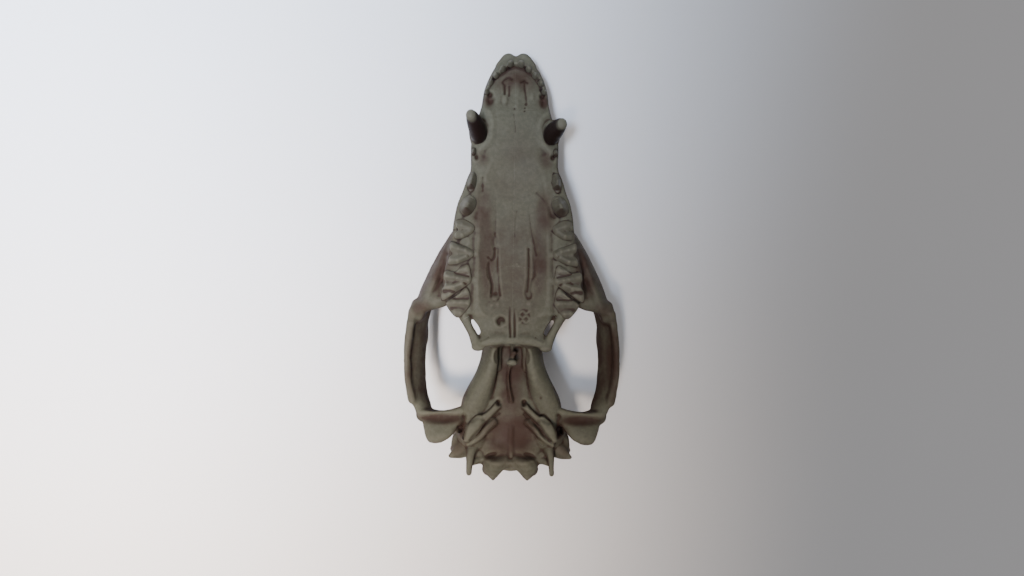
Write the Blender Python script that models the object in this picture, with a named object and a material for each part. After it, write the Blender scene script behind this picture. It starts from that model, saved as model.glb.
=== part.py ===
"""Skull of an adult Virginia opossum, without its lower jaw, lying on its crown with the palate up.

The skull is modelled whole in its own frame, in millimetres: +X to the animal's left, +Y to the snout
and +Z out of the palate, with Z = 0 on the sockets of the teeth. Thin cuts along the sutures part it
into its bones, the teeth are fused to the bones they grow from, and the whole is then turned the way
it rests on a table and scaled to metres.
"""

import math

import bmesh
import bpy
import numpy as np
from mathutils import Euler, Matrix, Vector

# Driving sizes, in millimetres.
TIP_Y = 60.3                  # front of the premaxillae
BACK_Y = -57.0                # back of the braincase, in front of the knobs of the condyles
SUTURE_GAP = 0.3              # open gap that parts two bones
VOXEL = 0.62                  # fineness of the blended bone surface
BONE_TRIANGLES = 9600         # triangles of the whole bone before the sutures are cut
THINNING = 0.72               # share of its triangles that a bone keeps once it is parted
METRE = 0.001                 # one millimetre in metres

# The skull rests on the tips of the nasal bones and on the two postorbital processes.
REST_PITCH = 13.1             # degrees that the snout dips
PROCESS_TIP = (11.6, -12.6, -27.2)
CREST_TOP = (0.0, -44.0, -33.4)

# Incisors as (across, along) of each peg, the canine's root and tip, and the premolars as
# (across, along, length, width, height, turn in degrees).
INCISORS = ((1.5, 57.3), (3.3, 56.0), (5.2, 54.3), (6.95, 52.2), (7.95, 50.0))
INCISOR_SIZE = (0.9, 1.15, 1.6)
CANINE_ROOT, CANINE_TIP = (9.8, 36.6, -3.0), (12.0, 40.9, 8.1)
CANINE_ROOT_SIZE, CANINE_TIP_SIZE = (2.3, 2.9), (1.4, 1.6)
LEFT_CANINE_TURN = (0.7, -2.1, 0.0)   # how far the left one's tip lies from where a mirror image would put it
PREMOLARS = ((11.5, 32.4, 2.4, 1.5, 1.9, 6), (11.9, 23.8, 5.9, 2.7, 3.5, 8), (12.9, 17.3, 6.2, 4.3, 4.1, 27))

# Molars: each one's outline from its front outer corner inwards and round, then its front and rear crests,
# all as (across, along). A crest runs from its outer end to the inner cusp.
MOLARS = (
    (((16.1, 13.2), (14.2, 13.6), (12.0, 12.6), (10.8, 11.3), (11.4, 9.7), (13.9, 8.1), (16.2, 7.8), (16.4, 9.2),
      (15.6, 10.4), (16.1, 11.6)),
     ((15.6, 12.6), (13.6, 12.3), (11.5, 10.9)), ((16.0, 8.7), (14.4, 8.9), (12.2, 9.9))),
    (((17.5, 7.2), (15.0, 6.4), (12.3, 5.4), (10.9, 4.2), (11.2, 3.0), (13.2, 1.7), (16.0, 0.7), (18.2, 0.6),
      (18.0, 2.4), (17.1, 3.8), (17.8, 5.2)),
     ((17.5, 6.3), (14.8, 5.2), (11.7, 4.1)), ((17.7, 1.0), (15.2, 1.5), (12.7, 2.7))),
    (((18.9, -1.0), (16.0, -1.2), (14.2, 0.4), (12.5, 0.9), (11.7, -1.6), (11.5, -3.6), (12.4, -4.9), (16.0, -7.3),
      (19.7, -9.6), (20.0, -6.8), (19.0, -4.9), (19.4, -3.0)),
     ((19.1, -1.9), (16.0, -2.4), (12.2, -3.5)), ((19.1, -6.5), (16.7, -5.9), (14.3, -4.8))),
    (((18.4, -9.8), (15.4, -7.7), (13.1, -5.4), (11.9, -7.3), (11.7, -10.2), (13.1, -12.4), (14.8, -14.0),
      (16.2, -13.8), (18.2, -11.4)),
     ((18.2, -9.9), (16.0, -9.4), (12.4, -10.0)), ((17.0, -12.2), (15.3, -13.2), (13.4, -12.2))),
)
CREST_HEIGHTS = (2.0, 2.7, 2.4)       # outer end, main cusp and inner end of a molar's crest

# Nasal bone as its half width and its lower face at stations along the skull.
NASAL_EDGE = ((64.0, 3.4), (50.0, 3.5), (43.0, 3.6), (37.0, 3.9), (32.0, 4.1), (26.0, 4.4), (20.0, 4.6), (15.8, 5.6),
              (11.0, 7.1), (5.0, 7.1), (1.0, 7.0))
NASAL_DEPTH = ((64.0, -8.8), (50.0, -9.4), (44.0, -10.6), (20.0, -16.0), (8.0, -18.8), (0.0, -20.6))

BONE_COLOUR = (0.30, 0.285, 0.235, 1.0)
LIGHT_SHIFTS = {"jugal": 0.94, "occipital": 0.92, "premaxilla": 1.04, "squamosal": 1.05, "nasal": 0.97,
                "petrosal": 0.96, "palatine": 1.02, "sphenoid": 0.98, "parietal": 0.95, "frontal": 0.99}


# Smooth curves and rings of points

def curve_through(knots, at):
    """Value at a station on a smooth curve through (station, value) pairs, which never overshoots them."""
    stations, values = (np.array(column, float) for column in zip(*sorted(knots)))
    at = min(max(at, stations[0]), stations[-1])
    slopes = np.diff(values) / np.diff(stations)
    tangents = np.zeros(len(values))
    for i in range(1, len(values) - 1):
        if slopes[i - 1] * slopes[i] > 0:
            tangents[i] = 2 * slopes[i - 1] * slopes[i] / (slopes[i - 1] + slopes[i])
    tangents[0], tangents[-1] = slopes[0], slopes[-1]
    i = int(min(np.searchsorted(stations, at, side="right") - 1, len(slopes) - 1))
    span = stations[i + 1] - stations[i]
    t = (at - stations[i]) / span
    return float(
        values[i] * (1 + 2 * t) * (1 - t) ** 2
        + values[i + 1] * t * t * (3 - 2 * t)
        + span * (tangents[i] * t * (1 - t) ** 2 + tangents[i + 1] * t * t * (t - 1))
    )


def round_power(value, power):
    """Cosine or sine bent so that an ellipse grows squarer as power rises above 2."""
    return math.copysign(abs(value) ** (2 / power), value)


def ring_across(y, half_width, top, bottom, widest, top_power, bottom_power, sides):
    """Ring of points across the skull at station y, squarer above or below as its power rises."""
    ring = []
    for k in range(sides):
        angle = 2 * math.pi * k / sides
        across, up = math.cos(angle), math.sin(angle)
        power = bottom_power if up > 0 else top_power
        reach = (bottom - widest) if up > 0 else (widest - top)
        ring.append((half_width * round_power(across, power), y, widest + reach * round_power(up, power)))
    return ring


def spline(path, steps):
    """Points on a Catmull-Rom curve through path, steps to each span, with the share of the way along."""
    pts = [Vector(p) for p in path]
    pts = [2 * pts[0] - pts[1]] + pts + [2 * pts[-1] - pts[-2]]
    found = []
    for i in range(1, len(pts) - 2):
        a, b, c, d = pts[i - 1:i + 3]
        for k in range(steps):
            t = k / steps
            point = 0.5 * (2 * b + (c - a) * t + (2 * a - 5 * b + 4 * c - d) * t * t
                           + (3 * b - a - 3 * c + d) * t ** 3)
            found.append((point, i - 1 + t))
    found.append((pts[-2], len(path) - 1.0))
    return found


def flipped(side, path):
    """Path on the left side as it is, and mirrored on the right side."""
    return [(side * p[0], *p[1:]) for p in path]


# Closed solids

def solid(points, faces, name="piece"):
    """New object from points and faces, with its faces turned outwards."""
    mesh = bpy.data.meshes.new(name)
    bm = bmesh.new()
    verts = [bm.verts.new(p) for p in points]
    for face in faces:
        bm.faces.new([verts[i] for i in face])
    bmesh.ops.recalc_face_normals(bm, faces=bm.faces)
    bm.to_mesh(mesh)
    bm.free()
    made = bpy.data.objects.new(name, mesh)
    bpy.context.scene.collection.objects.link(made)
    return made


def loft(rings):
    """Closed solid through rings that have the same number of points, flat at both ends."""
    sides = len(rings[0])
    points = [p for ring in rings for p in ring]
    faces = [
        (r * sides + k, r * sides + (k + 1) % sides, (r + 1) * sides + (k + 1) % sides, (r + 1) * sides + k)
        for r in range(len(rings) - 1)
        for k in range(sides)
    ]
    faces.append(tuple(range(sides)))
    faces.append(tuple(range(len(points) - sides, len(points))))
    return solid(points, faces)


def sweep(path, wide, tall, lean=0.0, up=(0, 0, 1), sides=12, steps=3):
    """Round-ended bar of oval section along a smooth curve. wide and tall are its half sizes at path's points.

    The tall axis stands towards up, and lean turns it about the way along, in degrees.
    """
    line = spline(path, steps)
    wide_at, tall_at = list(enumerate(wide)), list(enumerate(tall))
    rings = []
    for n, (point, along) in enumerate(line):
        ahead = line[min(n + 1, len(line) - 1)][0] - line[max(n - 1, 0)][0]
        ahead.normalize()
        side = Matrix.Rotation(math.radians(lean), 3, ahead) @ ahead.cross(Vector(up)).normalized()
        high = side.cross(ahead)
        a, b = curve_through(wide_at, along), curve_through(tall_at, along)
        shape = [side * (a * math.cos(2 * math.pi * k / sides)) + high * (b * math.sin(2 * math.pi * k / sides))
                 for k in range(sides)]
        cap = min(a, b)
        if n == 0:
            rings += [[point - ahead * cap * back + p * size for p in shape]
                      for back, size in ((0.85, 0.5), (0.5, 0.86))]
        rings.append([point + p for p in shape])
        if n == len(line) - 1:
            rings += [[point + ahead * cap * on + p * size for p in shape] for on, size in ((0.5, 0.86), (0.85, 0.5))]
    return loft(rings)


def side_bar(side, path, wide, tall, lean=0.0, up=(0, 0, 1)):
    """Swept bar on one side of the skull, written for the left side."""
    return sweep(flipped(side, path), wide, tall, side * lean, up)


def ball(centre, radii, turn=(0, 0, 0)):
    """Ellipsoid, turned by angles in degrees."""
    mesh = bpy.data.meshes.new("ball")
    bm = bmesh.new()
    bmesh.ops.create_icosphere(bm, subdivisions=3, radius=1.0)
    tilt = Euler([math.radians(a) for a in turn]).to_matrix().to_4x4()
    bm.transform(Matrix.Translation(centre) @ tilt @ Matrix.Diagonal((*radii, 1.0)))
    bm.to_mesh(mesh)
    bm.free()
    made = bpy.data.objects.new("ball", mesh)
    bpy.context.scene.collection.objects.link(made)
    return made


def both_sides(*makers):
    """Runs each maker for the left side and for its mirror image, and returns all that they made."""
    return [piece for make in makers for side in (1, -1) for piece in make(side)]


# Joining, carving and parting

def evaluated_copy(obj, name):
    """Plain mesh object of obj as its modifiers leave it, which takes obj's place."""
    bpy.context.view_layer.update()
    graph = bpy.context.evaluated_depsgraph_get()
    mesh = bpy.data.meshes.new_from_object(obj.evaluated_get(graph))
    bpy.data.objects.remove(obj)
    made = bpy.data.objects.new(name, mesh)
    bpy.context.scene.collection.objects.link(made)
    return made


def boolean(first, others, operation):
    """Union or difference of first with a collection of closed meshes, which are used up."""
    group = bpy.data.collections.new("operands")
    bpy.context.scene.collection.children.link(group)
    for other in others:
        group.objects.link(other)
    cut = first.modifiers.new(operation.lower(), "BOOLEAN")
    cut.operation = operation
    cut.solver = "MANIFOLD"
    cut.operand_type = "COLLECTION"
    cut.collection = group
    made = evaluated_copy(first, first.name)
    for other in others:
        bpy.data.objects.remove(other)
    bpy.data.collections.remove(group)
    return made


def surfaces(obj):
    """Closed surfaces of obj as lists of face indices, the one with the largest area first."""
    bm = bmesh.new()
    bm.from_mesh(obj.data)
    bm.faces.ensure_lookup_table()
    unseen = set(range(len(bm.faces)))
    islands = []
    while unseen:
        first = unseen.pop()
        island, front = [first], [first]
        while front:
            for edge in bm.faces[front.pop()].edges:
                for other in edge.link_faces:
                    if other.index in unseen:
                        unseen.remove(other.index)
                        island.append(other.index)
                        front.append(other.index)
        islands.append((sum(bm.faces[i].calc_area() for i in island), island))
    bm.free()
    return [island for area, island in sorted(islands, key=lambda pair: -pair[0])]


def only_faces(obj, keep, name):
    """New object with only the faces of obj whose indices are in keep."""
    keep = set(keep)
    bm = bmesh.new()
    bm.from_mesh(obj.data)
    bmesh.ops.delete(bm, geom=[f for f in bm.faces if f.index not in keep], context="FACES")
    bmesh.ops.triangulate(bm, faces=bm.faces)
    mesh = bpy.data.meshes.new(name)
    bm.to_mesh(mesh)
    bm.free()
    made = bpy.data.objects.new(name, mesh)
    bpy.context.scene.collection.objects.link(made)
    return made


def wall(path, plane, low, high):
    """Thin sheet as thick as a suture: a bent line in plane XY or YZ, pulled from low to high across it."""
    line = [Vector(p) for p in path]
    left, right = [], []
    for n, point in enumerate(line):
        before = (point - line[n - 1]).normalized() if n else (line[1] - point).normalized()
        after = (line[n + 1] - point).normalized() if n < len(line) - 1 else before
        mitre = Vector((-(before + after).y, (before + after).x)).normalized()
        reach = SUTURE_GAP / 2 / max(mitre.dot(Vector((-before.y, before.x))), 0.4)
        left.append(point + mitre * reach)
        right.append(point - mitre * reach)
    ring = left + right[::-1]
    place = {"XY": lambda p, d: (p.x, p.y, d), "YZ": lambda p, d: (d, p.x, p.y)}[plane]
    count = len(ring)
    points = [place(p, d) for d in (low, high) for p in ring]
    faces = [(k, (k + 1) % count, count + (k + 1) % count, count + k) for k in range(count)]
    for base in (0, count):
        for k in range(len(line) - 1):
            faces.append(tuple(base + i for i in (k, k + 1, count - 2 - k, count - 1 - k)))
    return solid(points, faces)


# The bone's main masses

def cranium_core():
    """Snout, forehead and braincase as one body along the skull."""
    half_width = ((TIP_Y, 2.6), (59.2, 4.5), (57.6, 5.7), (56.0, 6.7), (54.3, 7.6), (52.6, 8.3), (50, 9.1), (46, 9.6),
                  (42, 10.6), (38, 11.6), (34, 12.1), (28, 11.9), (24, 12.8), (20, 13.4), (14, 14.0), (7, 14.4),
                  (2, 13.2), (-3, 10.8), (-9, 9.8), (-14, 9.2), (-18, 7.6), (-22, 7.5), (-25, 8.5), (-29, 9.9),
                  (-33, 11.7), (-36, 13.3), (-40, 14.9), (-44, 15.5), (-48, 15.1), (-52, 13.4), (BACK_Y, 9.6))
    top = ((TIP_Y, -4.6), (58, -6.4), (56, -8.4), (53, -10.8), (50, -12.0), (44, -13.5), (32, -16.1), (20, -18.9),
           (8, -21.8), (-2, -24.2), (-12, -25.4), (-22, -26.2), (-32, -27.2), (-42, -28.0), (-50, -27.2),
           (BACK_Y, -24.0))
    bottom = ((TIP_Y, -1.6), (57, -0.4), (50, 0.0), (30, 0.2), (-8, -1.0), (-14, -4.0), (-19, -9.6), (-25, -10.0),
              (-31, -9.2), (-36, -7.8), (-44, -6.8), (-50, -6.8), (BACK_Y, -7.4))
    widest = ((TIP_Y, -3.2), (50, -4.4), (20, -5.0), (5, -9.0), (-3, -15.0), (-14, -19.0), (-20, -14.5),
              (-50, -14.5), (BACK_Y, -14.0))
    top_power = ((TIP_Y, 2.2), (20, 2.3), (-3, 2.8), (-16, 2.8), (-26, 2.0), (BACK_Y, 2.1))
    bottom_power = ((TIP_Y, 2.3), (48, 4.0), (5, 4.0), (-12, 2.2), (-30, 2.0), (-45, 2.3), (BACK_Y, 2.4))
    count = 58
    rings = []
    for n in range(count + 1):
        y = TIP_Y + (BACK_Y - TIP_Y) * n / count
        shape = [curve_through(knots, y) for knots in (half_width, top, bottom, widest, top_power, bottom_power)]
        rings.append(ring_across(y, *shape, sides=40))
    return loft(rings)


def palate_slab():
    """Floor of the maxillae that bears the cheek teeth, from the canines back past the last molars."""
    half_width = ((46, 9.4), (42, 10.6), (38, 12.0), (34, 12.4), (28, 12.3), (25, 13.5), (21.8, 14.5), (18.3, 15.9),
                  (15, 16.6), (10, 17.3), (4, 18.4), (-4, 19.8), (-8, 19.4), (-11, 17.6), (-13.4, 14.8))
    front, back, count = 46.0, -13.4, 30
    rings = []
    for n in range(count + 1):
        y = front + (back - front) * n / count
        rings.append(ring_across(y, curve_through(half_width, y), -8.0, 0.8, -2.2, 2.6, 5.0, sides=40))
    return loft(rings)


def palatine_plate():
    """Back of the palate with its raised rear rim, and the rear nasal passage under it."""
    plate_width = ((-8, 12.4), (-12, 11.9), (-16, 10.6), (-18.5, 9.3), (-21.8, 9.6))
    passage_width = ((-8, 9.6), (-14, 8.4), (-20, 7.2), (-23, 6.6))
    plate = loft([ring_across(y, curve_through(plate_width, y), -3.0, 0.3, -1.2, 3.0, 4.0, sides=32)
                  for y in np.linspace(-8, -21.8, 9)])
    passage = loft([ring_across(y, curve_through(passage_width, y), -14.0, -1.0, -7.0, 2.6, 3.2, sides=28)
                    for y in np.linspace(-8, -22.6, 8)])
    rim = sweep(((-9.9, -21.8, 0.2), (-6, -20.9, 0.3), (0, -20.3, 0.3), (6, -20.9, 0.3), (9.9, -21.8, 0.2)),
                (1.2, 1.05, 1.0, 1.05, 1.2), (1.1, 1.0, 0.9, 1.0, 1.1))
    return [plate, passage, rim]


def palatine_strut(side):
    """Bar from the last molar's socket to the corner of the palate, and the knob on that corner."""
    return [
        side_bar(side, ((14.8, -11.0, -1.2), (12.9, -15.0, -1.0), (11.5, -18.0, -0.7), (10.0, -21.2, -0.2)),
                 (2.2, 1.5, 1.2, 1.5), (2.2, 1.6, 1.35, 1.3)),
        ball((side * 9.5, -22.2, -0.1), (1.9, 1.3, 1.25)),
    ]


def cheek_arch(side):
    """Zygomatic arch: root in the maxilla, deep leaning plate, and its thick lower edge."""
    root = side_bar(side, ((11.0, 14.0, -8.0), (15.8, 8.8, -8.8), (19.8, 2.8, -9.4), (23.2, -3.2, -9.6),
                           (25.6, -8.4, -9.8), (27.6, -14.0, -10.2)),
                    (2.6, 2.8, 2.6, 2.3, 2.1, 1.7), (5.0, 5.6, 6.0, 5.8, 5.4, 5.0), lean=12)
    floor = side_bar(side, ((16.0, -3.0, -4.6), (20.0, -8.4, -5.0), (24.0, -10.2, -6.2), (27.6, -11.6, -6.6)),
                     (3.2, 2.9, 2.4, 2.0), (2.0, 2.2, 2.4, 2.0))
    plate = side_bar(side, ((26.6, -10.5, -10.2), (27.9, -17.0, -10.6), (28.3, -24.0, -10.9),
                            (28.2, -31.0, -10.8), (27.5, -36.6, -10.4), (26.0, -41.0, -10.0)),
                     (1.8, 1.2, 1.1, 1.1, 1.3, 2.0), (5.0, 4.9, 5.2, 5.0, 4.4, 3.6), lean=-28)
    lower_edge = side_bar(side, ((28.6, -12.6, -5.8), (29.8, -18.8, -6.2), (30.4, -25.6, -6.4),
                                 (30.1, -32.6, -6.6), (28.9, -38.6, -7.0)),
                          (1.5, 1.15, 1.1, 1.15, 1.4), (1.3, 1.1, 1.0, 1.1, 1.4))
    orbit_rim = side_bar(side, ((10.8, 6.0, -19.6), (15.0, 2.4, -17.6), (19.6, -3.0, -14.8), (24.0, -8.8, -14.0)),
                         (2.0, 1.9, 1.7, 1.5), (2.6, 2.4, 2.2, 1.8))
    point = ball((side * 26.3, -19.8, -15.4), (1.0, 4.6, 1.6))
    return [root, floor, plate, lower_edge, orbit_rim, point]


def jaw_joint(side):
    """Rear root of the arch with the shelf of the jaw joint, and the broad tongue behind it."""
    shelf = side_bar(side, ((11.0, -44.4, -11.5), (16.0, -44.6, -10.6), (21.0, -44.6, -10.2), (25.8, -43.2, -9.8)),
                     (3.4, 2.9, 2.7, 2.4), (3.2, 2.6, 2.4, 2.5))
    front_lip = side_bar(side, ((13.0, -41.2, -8.4), (17.6, -42.3, -7.6), (22.5, -42.7, -7.3), (26.5, -42.2, -7.2)),
                         (1.3, 1.2, 1.2, 1.0), (1.3, 1.2, 1.2, 1.1))
    tongue = loft([
        [(side * (x + half * math.cos(a)), y + 0.8 * math.sin(a), z + deep * math.sin(a))
         for a in (2 * math.pi * k / 24 for k in range(24))]
        for x, y, z, half, deep in (
            (20.2, -42.4, -9.6, 7.0, 2.4), (20.0, -44.6, -8.0, 6.2, 2.2), (20.5, -47.0, -6.4, 5.0, 1.9),
            (21.2, -49.2, -5.0, 3.5, 1.5), (21.9, -50.3, -4.4, 1.9, 0.9))
    ])
    return [shelf, front_lip, tongue]


# The bone's ridges, knobs and spikes

def throat_ridges(side):
    """Ridge beside the throat and the sloping panel of the braincase that it spreads into."""
    return [
        side_bar(side, ((6.4, -19.0, -6.6), (6.3, -24.5, -7.8), (6.9, -30.0, -8.2), (8.5, -35.6, -8.9),
                        (10.6, -40.6, -9.6), (11.8, -45.2, -10.4)),
                 (1.1, 1.5, 2.1, 3.1, 3.7, 3.2), (4.4, 4.7, 4.1, 3.4, 3.1, 2.6), lean=22),
    ]


def ear_region(side):
    """Ear wing, the ridges beside it, the mastoid flange and the rod beside the condyle."""
    return [
        side_bar(side, ((9.0, -43.9, -6.3), (11.0, -46.4, -5.7), (12.8, -49.2, -5.9)), (1.6, 1.9, 1.3), (1.4, 1.5, 1.2)),
        side_bar(side, ((3.9, -39.8, -6.7), (6.0, -42.0, -6.5), (8.2, -43.9, -6.4)), (1.0, 1.0, 1.1), (0.9, 0.9, 1.0)),
        side_bar(side, ((4.9, -44.6, -6.7), (6.8, -46.4, -6.6), (9.2, -49.2, -6.7), (12.2, -51.0, -7.3)),
                 (1.2, 1.0, 0.8, 0.9), (1.0, 1.1, 1.1, 1.3)),
        side_bar(side, ((6.0, -43.6, -8.0), (9.0, -46.8, -7.9), (12.0, -50.2, -8.2)), (1.6, 1.7, 1.6), (1.2, 1.2, 1.2)),
        ball((side * 10.6, -48.4, -13.0), (5.8, 6.4, 6.8)),
        side_bar(side, ((11.6, -51.4, -12.0), (14.6, -53.2, -10.2), (17.4, -55.2, -9.6)),
                 (2.4, 2.0, 0.7), (2.4, 1.8, 0.7)),
        side_bar(side, ((14.6, -49.0, -13.4), (17.2, -50.8, -12.6), (17.7, -54.4, -11.6)),
                 (2.0, 1.5, 1.0), (2.6, 2.4, 1.6)),
        ball((side * 15.2, -52.4, -11.6), (2.4, 2.8, 1.8)),
        side_bar(side, ((12.2, -54.2, -10.6), (15.0, -55.0, -10.4), (17.7, -55.4, -10.2)), (1.2, 1.1, 0.6), (1.2, 1.1, 0.7)),
        side_bar(side, ((10.9, -51.8, -9.6), (11.6, -54.4, -7.0), (11.8, -57.0, -5.6), (11.9, -59.0, -4.8)),
                 (2.0, 1.2, 0.9, 0.75), (1.9, 1.2, 0.9, 0.75)),
    ]


def occiput(side):
    """Half of the back of the skull: condyle, nuchal crest and the plate that they stand on."""
    return [
        side_bar(side, ((1.6, -55.6, -7.4), (4.6, -57.4, -7.4), (6.2, -59.0, -9.6), (5.6, -58.6, -13.4)),
                 (1.2, 2.0, 2.1, 1.5), (1.2, 2.2, 2.2, 1.6), up=(1, 0, 0)),
        ball((side * 5.0, -60.3, -8.6), (1.9, 1.9, 2.2)),
        ball((side * 5.4, -57.8, -8.0), (2.9, 3.1, 2.1), (0, side * 20, 0)),
        side_bar(side, ((-0.4, -56.4, -7.7), (2.5, -57.4, -7.5), (4.4, -59.2, -7.8)), (1.3, 1.6, 1.7), (1.3, 1.4, 1.5)),
        side_bar(side, ((7.4, -55.9, -9.6), (9.4, -55.4, -9.2), (11.2, -55.0, -8.8)), (1.5, 1.3, 1.4), (1.6, 1.3, 1.6)),
        side_bar(side, ((0, -62.4, -27.0), (4.0, -61.4, -26.5), (8.0, -58.4, -24.8), (11.4, -56.2, -21.6),
                        (14.2, -54.8, -17.4), (16.6, -53.8, -12.4)),
                 (1.4, 1.4, 1.5, 1.5, 1.5, 1.4), (1.6, 1.6, 1.5, 1.4, 1.3, 1.3), up=(0, 1, 0)),
        ball((side * 3.2, -56.2, -25.6), (4.8, 6.2, 3.0)),
        ball((side * 5.6, -51.6, -18.0), (8.4, 5.0, 10.6)),
    ]


def crown_ridges(side):
    """Brow, postorbital process, and the line that runs from it back to the sagittal crest."""
    return [
        side_bar(side, ((7.0, -9.0, -23.0), (9.6, -11.4, -25.0), PROCESS_TIP), (2.6, 2.0, 0.8), (2.2, 1.6, 0.7)),
        side_bar(side, ((10.4, -12.8, -25.8), (6.4, -17.0, -26.4), (2.6, -21.6, -27.2), (0.4, -26.0, -28.4)),
                 (1.1, 1.0, 1.0, 1.0), (1.2, 1.2, 1.2, 1.4)),
        side_bar(side, ((8.6, 4.0, -21.2), (9.4, -3.0, -23.2), (10.0, -9.0, -24.8), (10.4, -12.4, -25.8)),
                 (1.8, 1.5, 1.4, 1.2), (1.6, 1.4, 1.3, 1.2)),
    ]


def sagittal_crest():
    """Blade along the crown, highest above the back of the braincase, and the knob behind it."""
    top = ((-20, -27.2), (-27, -29.2), (-34, -31.2), (-40, -32.8), CREST_TOP[1:], (-50, -33.0), (-55.6, -31.2), (-61.4, -28.8))
    stations = (-21, -26, -31, -36, -40, CREST_TOP[1], -49, -54.8, -60.6)
    foot = -24.5
    path = [(0, y, (curve_through(top, y) + foot) / 2) for y in stations]
    tall = [(foot - curve_through(top, y)) / 2 for y in stations]
    return [sweep(path, [1.35, 1.25, 1.15, 1.1, 1.1, 1.1, 1.15, 1.3, 1.4], tall, sides=16),
            ball((0, -53.4, -26.6), (4.2, 2.4, 3.6))]


def snout_forms(side):
    """Rounded lobe at the front, free tip of the nasal bone, and the swelling over the canine's root."""
    return [
        side_bar(side, ((1.0, 59.4, -2.6), (2.3, 59.5, -2.6), (4.6, 57.4, -2.6)), (1.2, 1.6, 1.2), (1.6, 1.8, 1.6)),
        side_bar(side, ((2.2, 40.0, -12.8), (2.2, 48.0, -11.6), (2.0, 54.4, -11.1)), (2.4, 2.3, 1.3), (1.5, 1.3, 0.9)),
        side_bar(side, ((10.3, 38.8, 0.0), (10.3, 37.0, -4.0), (9.4, 33.0, -9.5)), (2.7, 2.5, 1.8), (3.2, 2.7, 1.8),
                 up=(0, 1, 0)),
    ]


# Everything that is carved out of the bone

def middle_openings():
    """Palate's vault, pit behind the incisors, nose, throat, rear edge of the palate and foramen magnum."""
    return [
        sweep(((0, 33, 2.6), (0, 24, 1.7), (0, 12, 1.6), (0, 0, 1.6), (0, -10, 1.7), (0, -17, 2.6)),
              (7.4, 9.4, 10.2, 10.4, 10.4, 8.8), (2.1, 2.2, 2.4, 2.4, 2.3, 2.0), sides=24),
        ball((0, 50.4, 0.9), (6.9, 5.9, 2.9)),
        sweep(((0, 62, -8.6), (0, 56, -8.0), (0, 49, -7.6), (0, 42, -7.6)), (5.2, 4.4, 4.4, 3.0), (3.2, 2.6, 2.9, 2.0),
              sides=20),
        sweep(((0, -38, -5.6), (0, -33, -7.4), (0, -26, -8.6), (0, -18, -8.2), (0, -11, -7.8)),
              (3.4, 4.2, 5.0, 5.2, 3.6), (1.2, 2.2, 3.0, 2.9, 2.2), sides=20),
        ball((0, -25.6, -2.4), (5.6, 4.6, 4.6)),
        ball((0, -24.6, 0.4), (9.4, 3.3, 2.8)),
        sweep(((0, -68, -13.2), (0, -57, -13.2), (0, -47, -14.0)), (3.3, 4.0, 3.4), (3.4, 4.0, 3.4), sides=20),
    ]


def side_openings(side):
    """Pits, slits and hollows that lie on both sides of the midline."""
    return [
        ball((side * 7.5, 47.6, 0.6), (1.4, 2.0, 2.0)),
        side_bar(side, ((11.2, -15.2, 0), (10.0, -17.0, 0), (8.7, -18.8, 0)), (0.45, 0.7, 0.45), (7, 7, 7)),
        side_bar(side, ((19.6, 17.4, -9.0), (15.6, 12.6, -8.6), (12.6, 8.6, -8.6)), (1.1, 1.1, 0.9), (1.6, 1.6, 1.1)),
        side_bar(side, ((17.4, -46.6, -9.6), (15.2, -47.2, -9.4), (12.6, -47.6, -9.2)), (1.3, 1.3, 1.0), (1.4, 1.4, 1.0)),
        side_bar(side, ((5.3, 8.6, 0.6), (5.1, 0, 0.2), (5.2, -8.4, 0.3)), (0.7, 0.8, 1.0), (0.9, 1.1, 1.5)),
        ball((side * 3.3, -14.4, 0.4), (1.3, 1.4, 1.9)),
        ball((side * 5.6, -54.4, -5.2), (1.4, 0.9, 1.5)),
        ball((side * 3.4, -48.2, -3.4), (3.0, 2.6, 3.6)),
        ball((side * 3.6, -39.0, -5.8), (0.7, 0.9, 1.6)),
    ]


# Teeth

def crown(outline, ridges, edge_height, fall, rings):
    """Tooth whose top is raised along ridges, with a root sunk below the socket.

    outline is a closed path of (across, along) points. Each ridge is two (across, along, height) ends,
    and fall is how steeply the crown drops beside it.
    """
    line = [Vector((p[0], p[1], 0)) for p in outline]
    middle = sum(line, Vector()) / len(line)

    def height(point, share):
        best = edge_height * (1 - 0.25 * share)
        for (ax, ay, ah), (bx, by, bh) in ridges:
            a, b = Vector((ax, ay, 0)), Vector((bx, by, 0))
            t = min(max((point - a).dot(b - a) / (b - a).length_squared, 0), 1)
            beside = (point - a - (b - a) * t).length
            best = max(best, ah + (bh - ah) * t - fall * beside * (0.5 + 0.4 * beside))
        return best

    layers = [[middle + (p - middle) * 0.72 + Vector((0, 0, -2.2)) for p in line],
              [middle + (p - middle) * 0.92 + Vector((0, 0, -0.2)) for p in line]]
    for r in range(rings):
        share = 1 - r / rings
        flat = [middle + (p - middle) * share for p in line]
        layers.append([p + Vector((0, 0, height(p, share))) for p in flat])
    count = len(line)
    points = [p for layer in layers for p in layer] + [middle + Vector((0, 0, height(middle, 0)))]
    faces = [tuple(range(count))]
    for r in range(len(layers) - 1):
        faces += [(r * count + k, r * count + (k + 1) % count, (r + 1) * count + (k + 1) % count, (r + 1) * count + k)
                  for k in range(count)]
    last = (len(layers) - 1) * count
    faces += [(last + k, last + (k + 1) % count, len(points) - 1) for k in range(count)]
    made = solid(points, faces)
    bm = bmesh.new()
    bm.from_mesh(made.data)
    bmesh.ops.triangulate(bm, faces=bm.faces)
    bm.to_mesh(made.data)
    bm.free()
    return made


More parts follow.
